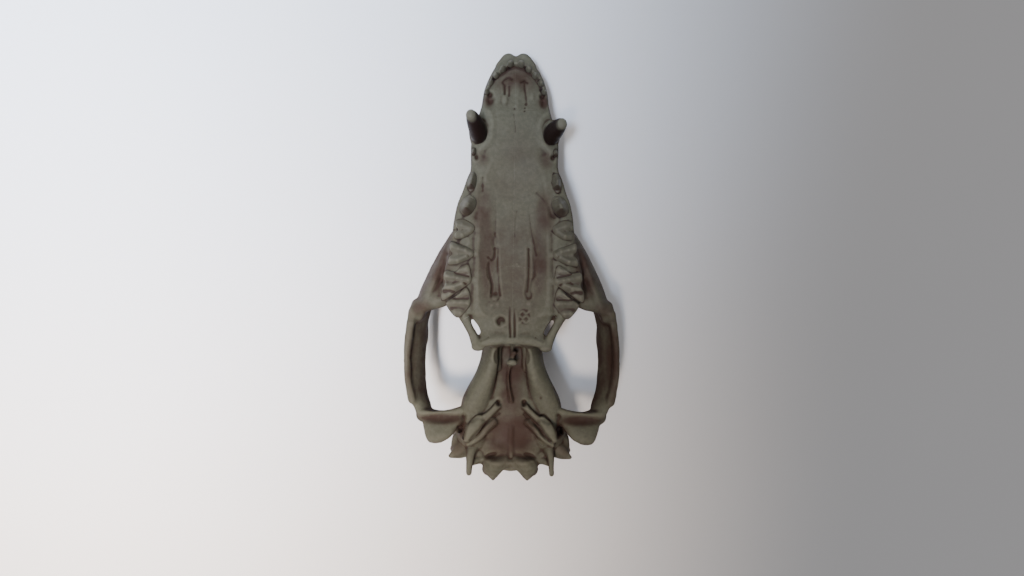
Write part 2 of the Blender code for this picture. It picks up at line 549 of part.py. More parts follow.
def oval_tooth(side, x, y, length, width, height, turn):
    """Tooth with one main cusp and a cutting ridge along it."""
    a = math.radians(turn)
    along, across = Vector((-math.sin(a), math.cos(a))), Vector((math.cos(a), math.sin(a)))
    place = lambda s, t: (side * (x + along.x * s + across.x * t), y + along.y * s + across.y * t)
    outline = [place(length / 2 * math.cos(q), width / 2 * math.sin(q)) for q in (math.pi * k / 4 for k in range(8))]
    peak = (*place(length * 0.06, 0), height)
    ridges = [((*place(length * 0.42, 0), height * 0.34), peak), ((*place(-length * 0.44, 0), height * 0.3), peak)]
    return crown(outline, ridges, 0.7, 1.5, 3)


def molar(side, outline, *crests):
    """Three-sided molar whose two crests spread from its low inner cusp to the outer corners."""
    lines = [[(side * x, y, height) for (x, y), height in zip(crest, CREST_HEIGHTS)] for crest in crests]
    return crown(flipped(side, outline), [ends for line in lines for ends in zip(line, line[1:])], 1.2, 0.75, 3)


def teeth(side):
    """Five incisors, the canine, three premolars and four molars of one side."""
    made = [oval_tooth(side, x, y, INCISOR_SIZE[1] * 2, INCISOR_SIZE[0] * 2, INCISOR_SIZE[2], 20 + 10 * n)
            for n, (x, y) in enumerate(INCISORS)]
    root, tip = Vector(CANINE_ROOT), Vector(CANINE_TIP)
    if side > 0:
        tip += Vector(LEFT_CANINE_TURN)
    middle = (root + tip) / 2 + Vector((0.0, 0.3, 0.0))
    sizes = [CANINE_ROOT_SIZE, [0.53 * (a + b) for a, b in zip(CANINE_ROOT_SIZE, CANINE_TIP_SIZE)], CANINE_TIP_SIZE]
    made.append(sweep(flipped(side, (root, middle, tip)), [s[0] for s in sizes], [s[1] for s in sizes],
                      up=(0, 1, 0), sides=10, steps=2))
    made += [oval_tooth(side, *sizes) for sizes in PREMOLARS]
    made += [molar(side, *forms) for forms in MOLARS]
    return made


# Whole bone, sutures and bones

def blended(bone, voxel, rounds):
    """Bone remeshed evenly and softened where its forms meet."""
    blend = bone.modifiers.new("blend", "REMESH")
    blend.mode = "VOXEL"
    blend.voxel_size = voxel
    soften = bone.modifiers.new("soften", "SMOOTH")
    soften.factor = 0.5
    soften.iterations = rounds
    return evaluated_copy(bone, "skull")


def thinned(bone, share):
    """Bone with only a share of its triangles."""
    thin_out = bone.modifiers.new("thin_out", "DECIMATE")
    thin_out.ratio = share
    return evaluated_copy(bone, bone.name)


def whole_bone():
    """The skull's bone in one piece: masses blended softly, ridges added, then carved."""
    masses = [palate_slab(), *palatine_plate(), *both_sides(cheek_arch, jaw_joint)]
    bone = blended(boolean(cranium_core(), masses, "UNION"), VOXEL, 4)
    ridges = both_sides(palatine_strut, throat_ridges, ear_region, occiput, crown_ridges, snout_forms)
    bone = boolean(bone, sagittal_crest() + ridges, "UNION")
    bone = boolean(bone, middle_openings() + both_sides(side_openings), "DIFFERENCE")
    rough = blended(bone, VOXEL, 2)
    bone = only_faces(rough, surfaces(rough)[0], "skull")
    bpy.data.objects.remove(rough)
    return thinned(bone, BONE_TRIANGLES / len(bone.data.polygons))


def sutures():
    """Thin sheets that part the bones from each other."""
    deep, high, out = -45.0, 9.0, 36.0
    snout_joint = ((44.2, high), (44.6, -2.0), (38.0, -12.5), (34.0, deep))
    sheets = [
        wall(((0.0, -19.0), (0.0, 66.0)), "XY", deep, -13.8),
        wall(((0.0, -23.2), (0.0, 66.0)), "XY", -13.9, high),
        wall(((-19.0, deep), (-19.0, -14.0), (-23.2, -14.0), (-23.2, high)), "YZ", -13.0, 13.0),
        wall(((-19.2, -14.4), (1.0, -14.4), (5.5, deep)), "YZ", -12.2, 12.2),
        wall(((-18.8, -14.0), (-30.0, -16.0), (-51.0, -16.0)), "YZ", -13.7, 13.7),
        wall(((-54.2, deep), (-52.8, -31.0), (-51.0, -22.0), (-51.0, -15.8)), "YZ", -20.0, 20.0),
        wall(snout_joint[:3], "YZ", -3.7, 3.7),
    ]
    for side in (1, -1):
        across = lambda near, far: sorted((side * near, side * far))
        plan = lambda path, low, top: wall(flipped(side, path), "XY", low, top)
        sheets += [
            wall(snout_joint, "YZ", *across(3.5, 20.0)),
            plan(((10.2, 9.0), (10.3, 2.0), (11.8, -3.4)), deep, -14.2),
            plan(((0.0, 0.6), (4.6, 0.2), (7.0, -4.0), (9.2, -9.4), (11.2, -12.8), (14.6, -15.4), (22.0, -16.6)),
                 -14.8, high),
            wall(((-15.8, high), (-15.2, -6.0), (-9.0, -12.0), (-5.0, -24.0)), "YZ", *across(17.0, out)),
            wall(((-23.5, -26.0), (-24.6, -15.6), (-29.0, -11.6), (-38.4, -6.8), (-40.0, 2.0)), "YZ",
                 *across(21.0, out)),
            plan(((12.9, -34.0), (13.4, -40.6), (13.6, -49.4), (18.9, -50.9), (30.0, -52.8)), deep, high),
            plan(((0.0, -43.4), (3.6, -42.2), (12.2, -49.9), (14.4, -49.7)), -16.1, high),
            plan(((3.9, -42.4), (5.6, -46.0), (8.4, -51.2), (12.8, -52.8), (14.0, -54.4), (14.6, -62.0)),
                 -16.1, high),
            wall(((-49.2, -16.0), (-60.0, -16.0)), "YZ", *across(8.0, 21.0)),
        ]
        for (front, near), (back, far) in zip(NASAL_EDGE, NASAL_EDGE[1:]):
            front, back = front + 0.1, back - 0.1
            front_depth, back_depth = curve_through(NASAL_DEPTH, front), curve_through(NASAL_DEPTH, back)
            sheets += [
                plan(((near, front), (far, back)), deep, front_depth + 0.4),
                wall(((front, front_depth), (back, back_depth)), "YZ", *across(0.0, max(near, far) + 0.25)),
            ]
    return sheets


BONES = {
    "parietal": (0, -36, -24), "sphenoid": (0, -33, -11), "occipital": (0, -54, -20),
    "premaxilla": (5, 52, -5), "nasal": (3, 25, -17), "maxilla": (12, 14, -7), "palatine": (6, -13, -8),
    "frontal": (6, -8, -20), "jugal": (28, -22, -9), "squamosal": (22, -42, -10), "petrosal": (12, -50, -11),
}


def parted(skull):
    """The bones as objects, named after the place that each one's middle is nearest to."""
    places = {}
    for name, (x, y, z) in BONES.items():
        if x == 0:
            places[name] = Vector((x, y, z))
        else:
            places[name + "_left"], places[name + "_right"] = Vector((x, y, z)), Vector((-x, y, z))
    made = []
    for island in surfaces(skull)[:len(places)]:
        corners = {i for f in island for i in skull.data.polygons[f].vertices}
        middle = sum((skull.data.vertices[i].co for i in corners), Vector()) / len(corners)
        name = min(places, key=lambda n: (places[n] - middle).length)
        del places[name]
        made.append(thinned(only_faces(skull, island, name), THINNING))
    bpy.data.objects.remove(skull)
    return made


def coat(bone):
    """Dry bone, a shade lighter or darker from bone to bone."""
    name = bone.name.removesuffix("_left").removesuffix("_right")
    shift = LIGHT_SHIFTS.get(name, 1.0)
    material = bpy.data.materials.new("bone_" + bone.name)
    material.use_nodes = True
    shader = material.node_tree.nodes["Principled BSDF"]
    shader.inputs["Base Color"].default_value = tuple(c * shift for c in BONE_COLOUR[:3]) + (1.0,)
    shader.inputs["Roughness"].default_value = 0.62
    bone.data.materials.clear()
    bone.data.materials.append(material)
    bone.data.polygons.foreach_set("use_smooth", [True] * len(bone.data.polygons))


def main():
    for obj in list(bpy.data.objects):
        bpy.data.objects.remove(obj)
    skull = boolean(whole_bone(), both_sides(teeth), "UNION")
    skull = boolean(skull, sutures(), "DIFFERENCE")
    bones = parted(skull)
    rest = Matrix.Rotation(math.radians(-REST_PITCH), 4, "X")
    for bone in bones:
        bone.data.transform(rest)
    points = np.array([v.co for bone in bones for v in bone.data.vertices])
    low, high = points.min(axis=0), points.max(axis=0)
    shift = Vector((0, -(low[1] + high[1]) / 2, -low[2]))
    for bone in bones:
        bone.data.transform(Matrix.Scale(METRE, 4) @ Matrix.Translation(shift))
        coat(bone)
    print(f"{len(bones)} bones; moved by {shift.y:.3f} mm along and {shift.z:.3f} mm up after the turn")


main()
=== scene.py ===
# %% [markdown]
# # Opossum skull
# This notebook dresses a finished CAD model: the upper skull of a Virginia opossum, lying on its crown with
# the palate and teeth up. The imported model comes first, as a fixed frame that nothing here may move.
# The solids in it have about fifteen thousand triangles, which is right for collisions and too coarse
# for bone. So the bone is made again from the same recipe with a much finer surface, small
# marks are sculpted into it, and each finished bone takes the place of its own CAD node.

# %% Load the frame
import math

import bmesh
import bpy
import numpy as np
from mathutils import Euler, Matrix, Vector, noise
from mathutils.bvhtree import BVHTree
from mathutils.kdtree import KDTree


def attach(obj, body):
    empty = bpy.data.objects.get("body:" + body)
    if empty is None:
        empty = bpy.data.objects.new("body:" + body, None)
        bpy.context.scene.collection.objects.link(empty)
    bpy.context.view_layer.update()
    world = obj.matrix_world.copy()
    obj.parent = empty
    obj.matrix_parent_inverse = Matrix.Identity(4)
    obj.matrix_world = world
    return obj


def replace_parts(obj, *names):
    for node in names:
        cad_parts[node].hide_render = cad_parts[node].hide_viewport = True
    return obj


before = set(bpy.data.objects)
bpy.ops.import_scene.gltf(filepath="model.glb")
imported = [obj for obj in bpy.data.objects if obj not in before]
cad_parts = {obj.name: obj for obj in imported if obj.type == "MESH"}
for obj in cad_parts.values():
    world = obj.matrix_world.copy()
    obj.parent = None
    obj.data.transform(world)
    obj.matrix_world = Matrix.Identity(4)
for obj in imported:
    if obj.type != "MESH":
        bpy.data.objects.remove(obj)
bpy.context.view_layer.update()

# %% [markdown]
# Bone is easiest to describe in its own frame: +X to the animal's left, +Y to the snout, +Z out of the
# palate, zero on the tooth sockets, in millimetres. One matrix then lays it on the table: the snout dips
# until the skull rests on its nasal bones and brow processes, and millimetres become metres. The two
# shifts are those that the part's source prints for the same turn.

# %% From skull to table
REST_PITCH = math.radians(13.1)
REST_SHIFT = Vector((0.0, 4.665, 23.935))
SKULL_TO_TABLE = (Matrix.Scale(0.001, 4) @ Matrix.Translation(REST_SHIFT)
                  @ Matrix.Rotation(-REST_PITCH, 4, "X"))


def on_table(point):
    """Place on the table, in metres, of a point of the skull in millimetres."""
    return SKULL_TO_TABLE @ Vector(point)


print("front of the snout lies at", [round(c, 4) for c in on_table((0, 60.3, 0))])

# %% [markdown]
# ## Camera
# The picture looks straight at the palate from about 200 mm, with the skull turned by less than a degree.
# The view's axes are written in the skull's frame and turned with it, so that camera and palate stay square
# to each other.

# %% Camera
EYE_HEIGHT = 200.0                  # above the tooth sockets, in millimetres
EYE_PLACE = (-0.22, -5.62)
ROLL = math.radians(0.8)
PIXELS_ACROSS, MM_PER_PIXEL, SENSOR = 1024, 0.281, 36.0


def linked(data, name):
    """New object in the scene that holds a mesh, a camera or a light."""
    made = bpy.data.objects.new(name, data)
    bpy.context.scene.collection.objects.link(made)
    return made


lens = bpy.data.cameras.new("copy_stand")
lens.sensor_width = SENSOR
lens.lens = EYE_HEIGHT / MM_PER_PIXEL * SENSOR / PIXELS_ACROSS
camera = linked(lens, "copy_stand")
turn = SKULL_TO_TABLE.to_3x3().normalized() @ Matrix.Rotation(ROLL, 3, "Z")
camera.matrix_world = Matrix.Translation(on_table((*EYE_PLACE, EYE_HEIGHT))) @ turn.to_4x4()
lens.clip_start, lens.clip_end = 0.01, 100.0
bpy.context.scene.camera = camera
print("camera stands at", [round(c, 3) for c in camera.location], "with a lens of", round(lens.lens, 2), "mm")

# %% [markdown]
# ## Curves and closed solids
# Skull bone has no straight lines, so all of it grows from three shapes: a body lofted through rings, a
# round-ended bar swept along a curve, and a ball. Stations with values are joined by a curve that never
# overshoots, because a bulge that nobody asked for reads as a deformity.

# %% Curves
def curve_through(knots, at):
    """Value at a station on a smooth curve through (station, value) pairs, which never overshoots them."""
    stations, values = (np.array(column, float) for column in zip(*sorted(knots)))
    at = min(max(at, stations[0]), stations[-1])
    slopes = np.diff(values) / np.diff(stations)
    tangents = np.zeros(len(values))
    for i in range(1, len(values) - 1):
        if slopes[i - 1] * slopes[i] > 0:
            tangents[i] = 2 * slopes[i - 1] * slopes[i] / (slopes[i - 1] + slopes[i])
    tangents[0], tangents[-1] = slopes[0], slopes[-1]
    i = int(min(np.searchsorted(stations, at, side="right") - 1, len(slopes) - 1))
    span = stations[i + 1] - stations[i]
    t = (at - stations[i]) / span
    return float(values[i] * (1 + 2 * t) * (1 - t) ** 2 + values[i + 1] * t * t * (3 - 2 * t)
                 + span * (tangents[i] * t * (1 - t) ** 2 + tangents[i + 1] * t * t * (t - 1)))


def spline(path, steps=6, closed=False):
    """Points on a smooth curve through path, steps to each span. Each comes with its way along, in spans."""
    pts = [Vector(p) for p in path]
    count = len(pts)
    around = [pts[-1], *pts, pts[0], pts[1]] if closed else [2 * pts[0] - pts[1], *pts, 2 * pts[-1] - pts[-2]]
    found = []
    for i in range(count if closed else count - 1):
        a, b, c, d = around[i:i + 4]
        for k in range(steps):
            t = k / steps
            found.append((0.5 * (2 * b + (c - a) * t + (2 * a - 5 * b + 4 * c - d) * t * t
                                 + (3 * b - a - 3 * c + d) * t ** 3), i + t))
    return found if closed else found + [(pts[-1], count - 1.0)]


def flipped(side, path):
    """Path on the animal's left side as it is, and mirrored on its right side."""
    return [(side * p[0], *p[1:]) for p in path]


def both_sides(*makers):
    """Runs each maker for the left side and for its mirror image, and returns all that they made."""
    return [piece for make in makers for side in (1, -1) for piece in make(side)]


# %% Lofts, bars and balls
def solid(points, faces, name="form"):
    """New object from points and faces, with its faces turned outwards."""
    mesh = bpy.data.meshes.new(name)
    bm = bmesh.new()
    verts = [bm.verts.new(p) for p in points]
    for face in faces:
        bm.faces.new([verts[i] for i in face])
    bmesh.ops.recalc_face_normals(bm, faces=bm.faces)
    if bm.calc_volume(signed=True) < 0:
        bmesh.ops.reverse_faces(bm, faces=bm.faces)
    bm.to_mesh(mesh)
    bm.free()
    return linked(mesh, name)


def skin(rings, sides):
    """Faces that join each ring of points to the next, where every ring has as many points as sides."""
    return [(r + k, r + after, r + sides + after, r + sides + k) for r in range(0, (rings - 1) * sides, sides)
            for k, after in zip(range(sides), (*range(1, sides), 0))]


def loft(rings):
    """Closed solid through rings that have the same number of points, flat at both ends."""
    sides = len(rings[0])
    points = [p for ring in rings for p in ring]
    ends = [tuple(range(sides)), tuple(range(len(points) - sides, len(points)))]
    return solid(points, skin(len(rings), sides) + ends)


def round_power(value, power):
    """Cosine or sine bent so that an ellipse grows squarer as power rises above 2."""
    return math.copysign(abs(value) ** (2 / power), value)


def ring_across(y, half_width, top, bottom, widest, top_power, bottom_power, sides=64):
    """Ring of points across the skull at station y, squarer above or below as its power rises."""
    ring = []
    for k in range(sides):
        across, up = math.cos(2 * math.pi * k / sides), math.sin(2 * math.pi * k / sides)
        power, reach = (bottom_power, bottom - widest) if up > 0 else (top_power, widest - top)
        ring.append((half_width * round_power(across, power), y, widest + reach * round_power(up, power)))
    return ring


# way past the end of a bar, and the section there, both as shares
ROUNDED_END = ((0.38, 0.92), (0.7, 0.71), (0.9, 0.42), (0.98, 0.18))


def sweep(path, wide, tall, lean=0.0, up=(0, 0, 1), sides=20, steps=5):
    """Round-ended bar of oval section along a smooth curve.

    wide and tall are its half sizes at path's points. The tall axis stands towards up, and lean turns it
    about the way along, in degrees.
    """
    line = spline(path, steps)
    wide_at, tall_at = list(enumerate(wide)), list(enumerate(tall))
    rings = []
    for n, (point, along) in enumerate(line):
        ahead = line[min(n + 1, len(line) - 1)][0] - line[max(n - 1, 0)][0]
        ahead.normalize()
        side = Matrix.Rotation(math.radians(lean), 3, ahead) @ ahead.cross(Vector(up)).normalized()
        high = side.cross(ahead)
        a, b = curve_through(wide_at, along), curve_through(tall_at, along)
        shape = [side * (a * math.cos(q)) + high * (b * math.sin(q))
                 for q in (2 * math.pi * k / sides for k in range(sides))]
        cap = ahead * min(a, b)
        if n == 0:
            rings += [[point - cap * off + p * size for p in shape] for off, size in ROUNDED_END[::-1]]
        rings.append([point + p for p in shape])
        if n == len(line) - 1:
            rings += [[point + cap * off + p * size for p in shape] for off, size in ROUNDED_END]
    return loft(rings)


def side_bar(side, path, wide, tall, lean=0.0, up=(0, 0, 1)):
    """Swept bar on one side of the skull, written for the left side."""
    return sweep(flipped(side, path), wide, tall, side * lean, up)


def ball(centre, radii, turn=(0, 0, 0)):
    """Ellipsoid, turned by angles in degrees."""
    mesh = bpy.data.meshes.new("ball")
    bm = bmesh.new()
    bmesh.ops.create_icosphere(bm, subdivisions=4, radius=1.0)
    tilt = Euler([math.radians(a) for a in turn]).to_matrix().to_4x4()
    bm.transform(Matrix.Translation(centre) @ tilt @ Matrix.Diagonal((*radii, 1.0)))
    bm.to_mesh(mesh)
    bm.free()
    return linked(mesh, "ball")


# %% [markdown]
# ## Joining and softening
# A Boolean joins or carves whole collections at once. A voxel remesh then lays an even skin over the
# result and a few rounds of smoothing melt the creases, as clay is pressed together and wiped with a thumb.

# %% Joining and softening
def evaluated_copy(obj, name):
    """Plain mesh object of obj as its modifiers leave it, which takes obj's place."""
    bpy.context.view_layer.update()
    graph = bpy.context.evaluated_depsgraph_get()
    mesh = bpy.data.meshes.new_from_object(obj.evaluated_get(graph))
    bpy.data.objects.remove(obj)
    return linked(mesh, name)


def boolean(first, others, operation):
    """Union or difference of first with a collection of closed meshes, which are used up."""
    group = bpy.data.collections.new("operands")
    bpy.context.scene.collection.children.link(group)
    for other in others:
        group.objects.link(other)
    cut = first.modifiers.new(operation.lower(), "BOOLEAN")
    cut.operation, cut.solver = operation, "MANIFOLD"
    cut.operand_type, cut.collection = "COLLECTION", group
    made = evaluated_copy(first, first.name)
    for other in others:
        bpy.data.objects.remove(other)
    bpy.data.collections.remove(group)
    return made


def blended(bone, voxel, rounds):
    """Bone remeshed evenly and softened where its forms meet."""
    blend = bone.modifiers.new("blend", "REMESH")
    blend.mode, blend.voxel_size = "VOXEL", voxel
    soften = bone.modifiers.new("soften", "SMOOTH")
    soften.factor, soften.iterations = 0.5, rounds
    return evaluated_copy(bone, "skull")


# %% [markdown]
# ## The skull's main masses
# Snout, forehead and braincase are one body, given by a few profiles along the skull: half width, crown,
# palate side, and how square the section is. The tooth-bearing slab, the back of the palate, the cheek
# arches and the jaw joints are laid over it. Everything is written once, for the left side.

# %% Snout, forehead and braincase
TIP_Y, BACK_Y = 60.3, -57.0         # front of the premaxillae, back of the braincase
PROCESS_TIP = (11.6, -12.6, -27.2)  # brow process that the skull rests on


def cranium_core():
    """Snout, forehead and braincase as one body along the skull."""
    half_width = ((TIP_Y, 2.6), (59.2, 4.5), (57.6, 5.7), (56.0, 6.7), (54.3, 7.6), (52.6, 8.3), (50, 9.1),
                  (46, 9.6), (42, 10.6), (38, 11.6), (34, 12.1), (28, 11.9), (24, 12.8), (20, 13.4),
                  (14, 14.0), (7, 14.4), (2, 13.2), (-3, 10.8), (-9, 9.8), (-14, 9.2), (-18, 7.6), (-22, 7.5),
                  (-25, 8.5), (-29, 9.9), (-33, 11.7), (-36, 13.3), (-40, 14.9), (-44, 15.5), (-48, 15.1),
                  (-52, 13.4), (BACK_Y, 9.6))
    top = ((TIP_Y, -4.6), (58, -6.4), (56, -8.4), (53, -10.8), (50, -12.0), (44, -13.5), (32, -16.1),
           (20, -18.9), (8, -21.8), (-2, -24.2), (-12, -25.4), (-22, -26.2), (-32, -27.2), (-42, -28.0),
           (-50, -27.2), (BACK_Y, -24.0))
    bottom = ((TIP_Y, -1.6), (57, -0.4), (50, 0.0), (30, 0.2), (-8, -1.0), (-14, -4.0), (-19, -9.6),
              (-25, -10.0), (-31, -9.2), (-36, -7.8), (-44, -6.8), (-50, -6.8), (BACK_Y, -7.4))
    widest = ((TIP_Y, -3.2), (50, -4.4), (20, -5.0), (5, -9.0), (-3, -15.0), (-14, -19.0), (-20, -14.5),
              (-50, -14.5), (BACK_Y, -14.0))
    top_power = ((TIP_Y, 2.2), (20, 2.3), (-3, 2.8), (-16, 2.8), (-26, 2.0), (BACK_Y, 2.1))
    bottom_power = ((TIP_Y, 2.3), (48, 4.0), (5, 4.0), (-12, 2.2), (-30, 2.0), (-45, 2.3), (BACK_Y, 2.4))
    profiles = (half_width, top, bottom, widest, top_power, bottom_power)
    return loft([ring_across(y, *[curve_through(profile, y) for profile in profiles])
                 for y in np.linspace(TIP_Y, BACK_Y, 110)])


def palate_slab():
    """Floor of the maxillae that bears the cheek teeth, from the canines back past the last molars."""
    front, back, full = 49.0, -13.4, 0.8
    half_width = ((front, 8.8), (46, 9.4), (42, 10.6), (38, 12.0), (34, 12.4), (28, 12.3), (25, 13.5),
                  (21.8, 14.5), (18.3, 15.9), (15, 16.6), (10, 17.3), (4, 18.4), (-4, 19.8), (-8, 19.4),
                  (-11, 17.6), (back, 14.8))
    level = ((front, -1.2), (46.5, -0.1), (44, 0.5), (41, full), (36, full), (back, full))
    return loft([ring_across(y, curve_through(half_width, y), top=-8.0,
                             bottom=min(curve_through(level, y), full), widest=-2.2,
                             top_power=2.6, bottom_power=5.0)
                 for y in np.linspace(front, back, 62)])


def palatine_plate():
    """Back of the palate with its raised rear rim, and the rear nasal passage under it."""
    plate_width = ((-8, 12.4), (-12, 11.9), (-16, 10.6), (-18.5, 9.3), (-21.8, 9.6))
    passage_width = ((-8, 9.6), (-14, 8.4), (-20, 7.2), (-23, 6.6))
    plate = loft([ring_across(y, curve_through(plate_width, y), top=-3.0, bottom=0.3, widest=-1.2,
                              top_power=3.0, bottom_power=4.0) for y in np.linspace(-8, -21.8, 18)])
    passage = loft([ring_across(y, curve_through(passage_width, y), top=-14.0, bottom=-1.0, widest=-7.0,
                                top_power=2.6, bottom_power=3.2) for y in np.linspace(-8, -22.6, 16)])
    rim = sweep(((-9.7, -21.6, 0.1), (-6, -20.6, 0.2), (0, -20.0, 0.2), (6, -20.6, 0.2), (9.7, -21.6, 0.1)),
                (1.4, 1.4, 1.4, 1.4, 1.4), (1.1, 1.0, 0.9, 1.0, 1.1))
    return [plate, passage, rim]


# %% Cheek arches and jaw joints
def cheek_arch(side):
    """Zygomatic arch: root in the maxilla, deep leaning plate, and its thick lower edge."""
    root = side_bar(side, ((11.0, 14.0, -8.0), (15.8, 8.8, -8.8), (19.8, 2.8, -9.4), (23.2, -3.2, -9.6),
                           (25.6, -8.4, -9.8), (27.6, -14.0, -10.2)),
                    (2.6, 2.8, 2.6, 2.3, 2.1, 1.7), (5.0, 5.6, 6.0, 5.8, 5.4, 5.0), lean=12)
    floor = side_bar(side, ((16.0, -3.0, -4.6), (20.0, -8.4, -5.0), (24.0, -10.2, -6.2), (27.6, -11.6, -6.6)),
                     (3.2, 2.9, 2.4, 2.0), (2.0, 2.2, 2.4, 2.0))
    plate = side_bar(side, ((26.6, -10.5, -10.2), (27.9, -17.0, -10.6), (28.3, -24.0, -10.9),
                            (28.2, -31.0, -10.8), (27.5, -36.6, -10.4), (26.0, -41.0, -10.0)),
                     (1.8, 1.2, 1.1, 1.1, 1.3, 2.0), (5.0, 4.9, 5.2, 5.0, 4.4, 3.6), lean=-28)
    lower_edge = side_bar(side, ((28.6, -12.6, -5.8), (29.8, -18.8, -6.2), (30.4, -25.6, -6.4),
                                 (30.1, -32.6, -6.6), (28.9, -38.6, -7.0)),
                          (1.5, 1.15, 1.1, 1.15, 1.4), (1.3, 1.1, 1.0, 1.1, 1.4))
    orbit_rim = side_bar(side, ((10.8, 6.0, -19.6), (15.0, 2.4, -17.6), (19.6, -3.0, -14.8),
                                (24.0, -8.8, -14.0)),
                         (2.0, 1.9, 1.7, 1.5), (2.6, 2.4, 2.2, 1.8))
    point = ball((side * 26.3, -19.8, -15.4), (1.0, 4.6, 1.6))
    return [root, floor, plate, lower_edge, orbit_rim, point]


def jaw_joint(side):
    """Rear root of the arch with the shelf of the jaw joint, and the broad tongue behind it."""
    shelf = side_bar(side, ((11.0, -44.4, -11.5), (16.0, -44.6, -10.6), (21.0, -44.6, -10.2),
                            (25.8, -43.2, -9.8)),
                     (3.4, 2.9, 2.7, 2.4), (3.2, 2.6, 2.4, 2.5))
    front_lip = side_bar(side, ((13.0, -41.2, -8.4), (17.6, -42.3, -7.6), (22.5, -42.7, -7.3),
                                (26.5, -42.2, -7.2)),
                         (1.3, 1.2, 1.2, 1.0), (1.3, 1.2, 1.2, 1.1))
    tongue = loft([
        [(side * (x + half * math.cos(a)), y + 0.8 * math.sin(a), z + deep * math.sin(a))
         for a in (2 * math.pi * k / 36 for k in range(36))]
        for x, y, z, half, deep in (
            (20.2, -42.4, -9.6, 7.0, 2.4), (20.0, -44.6, -8.0, 6.2, 2.2), (20.5, -47.0, -6.4, 5.0, 1.9),
            (21.2, -49.2, -5.0, 3.5, 1.5), (21.9, -50.3, -4.4, 1.9, 0.9))
    ])
    return [shelf, front_lip, tongue]


# %% Blend the masses
MASS_VOXEL, MASS_SOFTENING = 0.5, 6             # millimetres, and rounds of smoothing

masses = [palate_slab(), *palatine_plate(), *both_sides(cheek_arch, jaw_joint)]
body = blended(boolean(cranium_core(), masses, "UNION"), MASS_VOXEL, MASS_SOFTENING)
print("masses blended into", len(body.data.polygons), "faces")

# %% [markdown]
# ## Ridges, knobs and spikes
# Muscles and nerves shape these: the crest that the jaw muscles pull on, the ridges beside the throat,
# the ear region, the condyles that carry the head. They are added after the first blend, so that they
# stay crisper than the masses they stand on.

# %% Palate struts, throat and ear region
def palatine_strut(side):
    """Bar from the last molar's socket to the corner of the palate, and the knob on that corner."""
    return [
        side_bar(side, ((14.8, -11.0, -1.2), (12.9, -15.0, -1.0), (11.5, -18.0, -0.7), (10.0, -21.2, -0.2)),
                 (2.2, 1.5, 1.2, 1.5), (2.2, 1.6, 1.35, 1.3)),
        ball((side * 9.5, -22.2, -0.1), (1.9, 1.3, 1.25)),
    ]


def throat_ridges(side):
    """Ridge beside the throat and the sloping panel of the braincase that it spreads into."""
    return [side_bar(side, ((6.4, -19.0, -6.6), (6.4, -24.5, -7.8), (7.2, -30.0, -8.2), (8.9, -35.6, -8.9),
                            (10.6, -40.6, -9.6), (11.8, -45.2, -10.4)),
                     (1.2, 1.8, 2.6, 3.6, 4.1, 3.5), (4.4, 4.7, 4.1, 3.4, 3.1, 2.6), lean=24)]


def ear_region(side):
    """Ear wing, the ridges beside it, the mastoid flange and the rod beside the condyle."""
    return [
        side_bar(side, ((9.0, -43.9, -6.3), (11.0, -46.4, -5.7), (12.8, -49.2, -5.9)),
                 (1.6, 1.9, 1.3), (1.4, 1.5, 1.2)),
        side_bar(side, ((3.9, -39.8, -6.7), (6.0, -42.0, -6.5), (8.2, -43.9, -6.4)),
                 (1.0, 1.0, 1.1), (0.9, 0.9, 1.0)),
        side_bar(side, ((4.9, -44.6, -6.7), (6.8, -46.4, -6.6), (9.2, -49.2, -6.7), (12.2, -51.0, -7.3)),
                 (1.2, 1.0, 0.8, 0.9), (1.0, 1.1, 1.1, 1.3)),
        side_bar(side, ((6.0, -43.6, -8.0), (9.0, -46.8, -7.9), (12.0, -50.2, -8.2)),
                 (1.6, 1.7, 1.6), (1.2, 1.2, 1.2)),
        ball((side * 10.6, -48.4, -13.0), (5.8, 6.4, 6.8)),
        side_bar(side, ((11.6, -51.4, -12.0), (14.6, -53.2, -10.2), (17.4, -55.2, -9.6)),
                 (2.4, 2.0, 0.7), (2.4, 1.8, 0.7)),
        side_bar(side, ((14.6, -49.0, -13.4), (16.2, -50.8, -12.6), (16.6, -54.0, -11.6)),
                 (2.0, 1.3, 0.9), (2.6, 2.4, 1.6)),
        ball((side * 15.2, -52.4, -11.6), (2.4, 2.8, 1.8)),
        side_bar(side, ((12.2, -54.2, -10.6), (15.0, -55.0, -10.4), (17.7, -55.4, -10.2)),
                 (1.2, 1.1, 0.6), (1.2, 1.1, 0.7)),
        side_bar(side, ((10.9, -51.8, -9.6), (11.6, -54.4, -7.0), (11.8, -57.0, -5.6), (11.9, -59.0, -4.8)),
                 (2.0, 1.2, 0.9, 0.75), (1.9, 1.2, 0.9, 0.75)),
    ]


